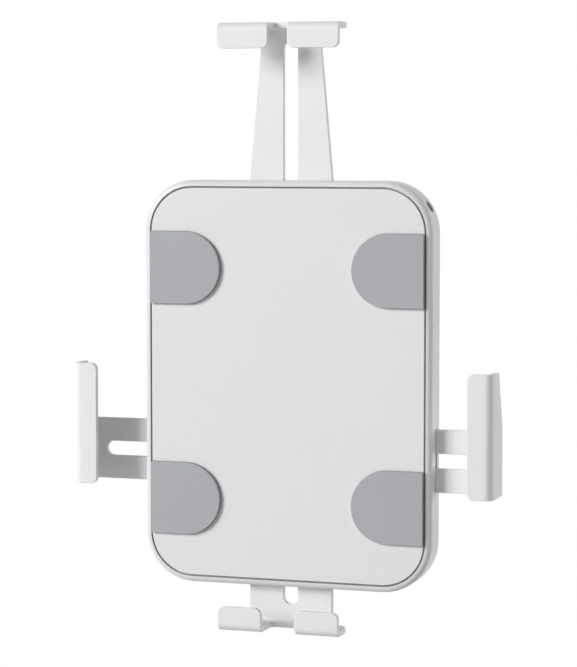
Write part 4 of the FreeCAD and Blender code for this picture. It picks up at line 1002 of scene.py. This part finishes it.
@dataclass(frozen=True)
class Lamp:
    """One square soft box, aimed at the mount from a direction given in degrees."""

    name: str
    azimuth: float
    elevation: float
    side: float
    power: float
    distance: float = 5.0
    target: tuple[float, float, float] = (0.0, 0.0, 0.03)

    def build(self) -> bpy.types.Object:
        """Makes the lamp and aims it.

        Returns:
            The lamp object.
        """
        light = bpy.data.lights.new(self.name, "AREA")
        light.size = self.side
        light.energy = self.power
        lamp = bpy.data.objects.new(self.name, light)
        around, up = math.radians(self.azimuth), math.radians(self.elevation)
        away = Vector((math.sin(around) * math.cos(up), -math.cos(around) * math.cos(up), math.sin(up)))
        lamp.location = Vector(self.target) + away * self.distance
        lamp.rotation_mode = "QUATERNION"
        lamp.rotation_quaternion = (-away).to_track_quat("-Z", "Y")
        bpy.context.scene.collection.objects.link(lamp)
        return lamp


@dataclass
class Studio:
    """White floor and surroundings, soft lamps and the camera at the photograph's angle."""

    camera_place: tuple[float, float, float] = (0.3382, -1.0365, 0.1068)
    azimuth: float = math.radians(18.27)
    elevation: float = math.radians(4.49)
    lens: float = 135.36
    ambient: float = 0.1
    floor_drop: float = 0.25
    floor_half: float = 6.0
    floor_shade: float = 0.8
    shadow_reach: tuple[float, float] = (0.2, 0.7)
    shadow_lift: float = 0.5
    clip: tuple[float, float] = (0.05, 50.0)
    lamps: tuple[Lamp, ...] = (
        Lamp("key", -45, 20, 2.1, 219.0), Lamp("right_side", 110, 10, 2.1, 54.0),
        Lamp("right_top", 90, 45, 2.1, 21.0), Lamp("right_rear", 135, 20, 2.1, 15.0))

    def build(self) -> None:
        """Makes the floor, the world, the lamps and the camera."""
        self._make_floor()
        self._make_world()
        self._make_camera()
        for lamp in self.lamps:
            lamp.build()

    def _make_floor(self) -> None:
        """A wide floor below the mount: it takes the shadow close by and is white further out."""
        low = CAD_BOX[0].z - self.floor_drop
        half = self.floor_half
        mesh = bpy.data.meshes.new("studio_floor")
        corners = [(-half, -half, low), (half, -half, low), (half, half, low), (-half, half, low)]
        mesh.from_pydata(corners, [], [(0, 1, 2, 3)])
        floor = bpy.data.objects.new("studio_floor", mesh)
        bpy.context.scene.collection.objects.link(floor)
        material = bpy.data.materials.new("studio_floor")
        material.use_nodes = True
        graph = Graph(material.node_tree)
        material.node_tree.nodes.remove(material.node_tree.nodes["Principled BSDF"])
        output = material.node_tree.nodes["Material Output"]
        shade = (self.floor_shade,) * 3 + (1.0,)
        paper = graph.add("ShaderNodeBsdfDiffuse", {"Color": shade})
        white = graph.add("ShaderNodeEmission", {"Strength": 1.0})
        place = graph.add("ShaderNodeTexCoord").outputs["Object"]
        flat = graph.add("ShaderNodeVectorMath", {0: place, 1: (1.0, 1.0, 0.0)}, operation="MULTIPLY")
        reach = graph.add("ShaderNodeVectorMath", {0: flat.outputs[0]}, operation="LENGTH")
        near, far = self.shadow_reach
        away = graph.add("ShaderNodeMapRange", {
            "Value": reach.outputs["Value"], "From Min": near, "From Max": far,
            "To Min": self.shadow_lift}, interpolation_type="SMOOTHSTEP")
        factor = graph.math("MULTIPLY", self._seen_rays(graph), away.outputs["Result"])
        mixed = graph.add("ShaderNodeMixShader", {0: factor, 1: paper.outputs[0], 2: white.outputs[0]})
        graph.join(mixed.outputs[0], output.inputs["Surface"])
        mesh.materials.append(material)

    @staticmethod
    def _seen_rays(graph: Graph) -> bpy.types.NodeSocket:
        """1 for rays that show the background: from the camera, or by gloss or glass.

        Args:
            graph: the tree that the nodes go into.

        Returns:
            The factor.
        """
        path = graph.add("ShaderNodeLightPath").outputs
        seen = graph.math("MAXIMUM", path["Is Camera Ray"], path["Is Glossy Ray"])
        return graph.math("MAXIMUM", seen, path["Is Transmission Ray"])

    def _make_world(self) -> None:
        """Pale surroundings that show as white."""
        world = bpy.data.worlds.new("studio")
        bpy.context.scene.world = world
        world.use_nodes = True
        graph = Graph(world.node_tree)
        background = world.node_tree.nodes["Background"]
        background.inputs["Color"].default_value = (1.0, 1.0, 1.0, 1.0)
        strength = graph.add("ShaderNodeMapRange", {
            "Value": self._seen_rays(graph), "To Min": self.ambient, "To Max": 1.0})
        graph.join(strength.outputs["Result"], background.inputs["Strength"])

    def _make_camera(self) -> None:
        """The camera stands where the photograph's perspective puts it."""
        data = bpy.data.cameras.new("photo_view")
        data.lens = self.lens
        data.clip_start, data.clip_end = self.clip
        camera = bpy.data.objects.new("photo_view", data)
        back = Vector((math.sin(self.azimuth) * math.cos(self.elevation),
                       -math.cos(self.azimuth) * math.cos(self.elevation), math.sin(self.elevation)))
        camera.location = self.camera_place
        camera.rotation_mode = "QUATERNION"
        camera.rotation_quaternion = (-back).to_track_quat("-Z", "Y")
        bpy.context.scene.collection.objects.link(camera)
        bpy.context.scene.camera = camera


def main() -> None:
    """Builds the studio, the finishes and every piece, in order."""
    logging.basicConfig(level=logging.INFO, format="%(name)s: %(message)s")
    bpy.context.scene.view_settings.view_transform = "Standard"
    Studio().build()
    palette = make_palette(SurfaceEffects())
    sheet_edge = SoftEdges(radius=0.3 * MM)
    Arms(edge=sheet_edge).build(palette)
    Housing(moulded_edge=SoftEdges(radius=0.12 * MM)).build(palette)
    GripPads(edge=SoftEdges(radius=0.0)).build(palette)
    WallBracket(edge=SoftEdges(radius=0.2 * MM)).build(palette)
    Fasteners(edge=SoftEdges(radius=0.08 * MM)).build(palette)


if __name__ == "__main__":
    main()
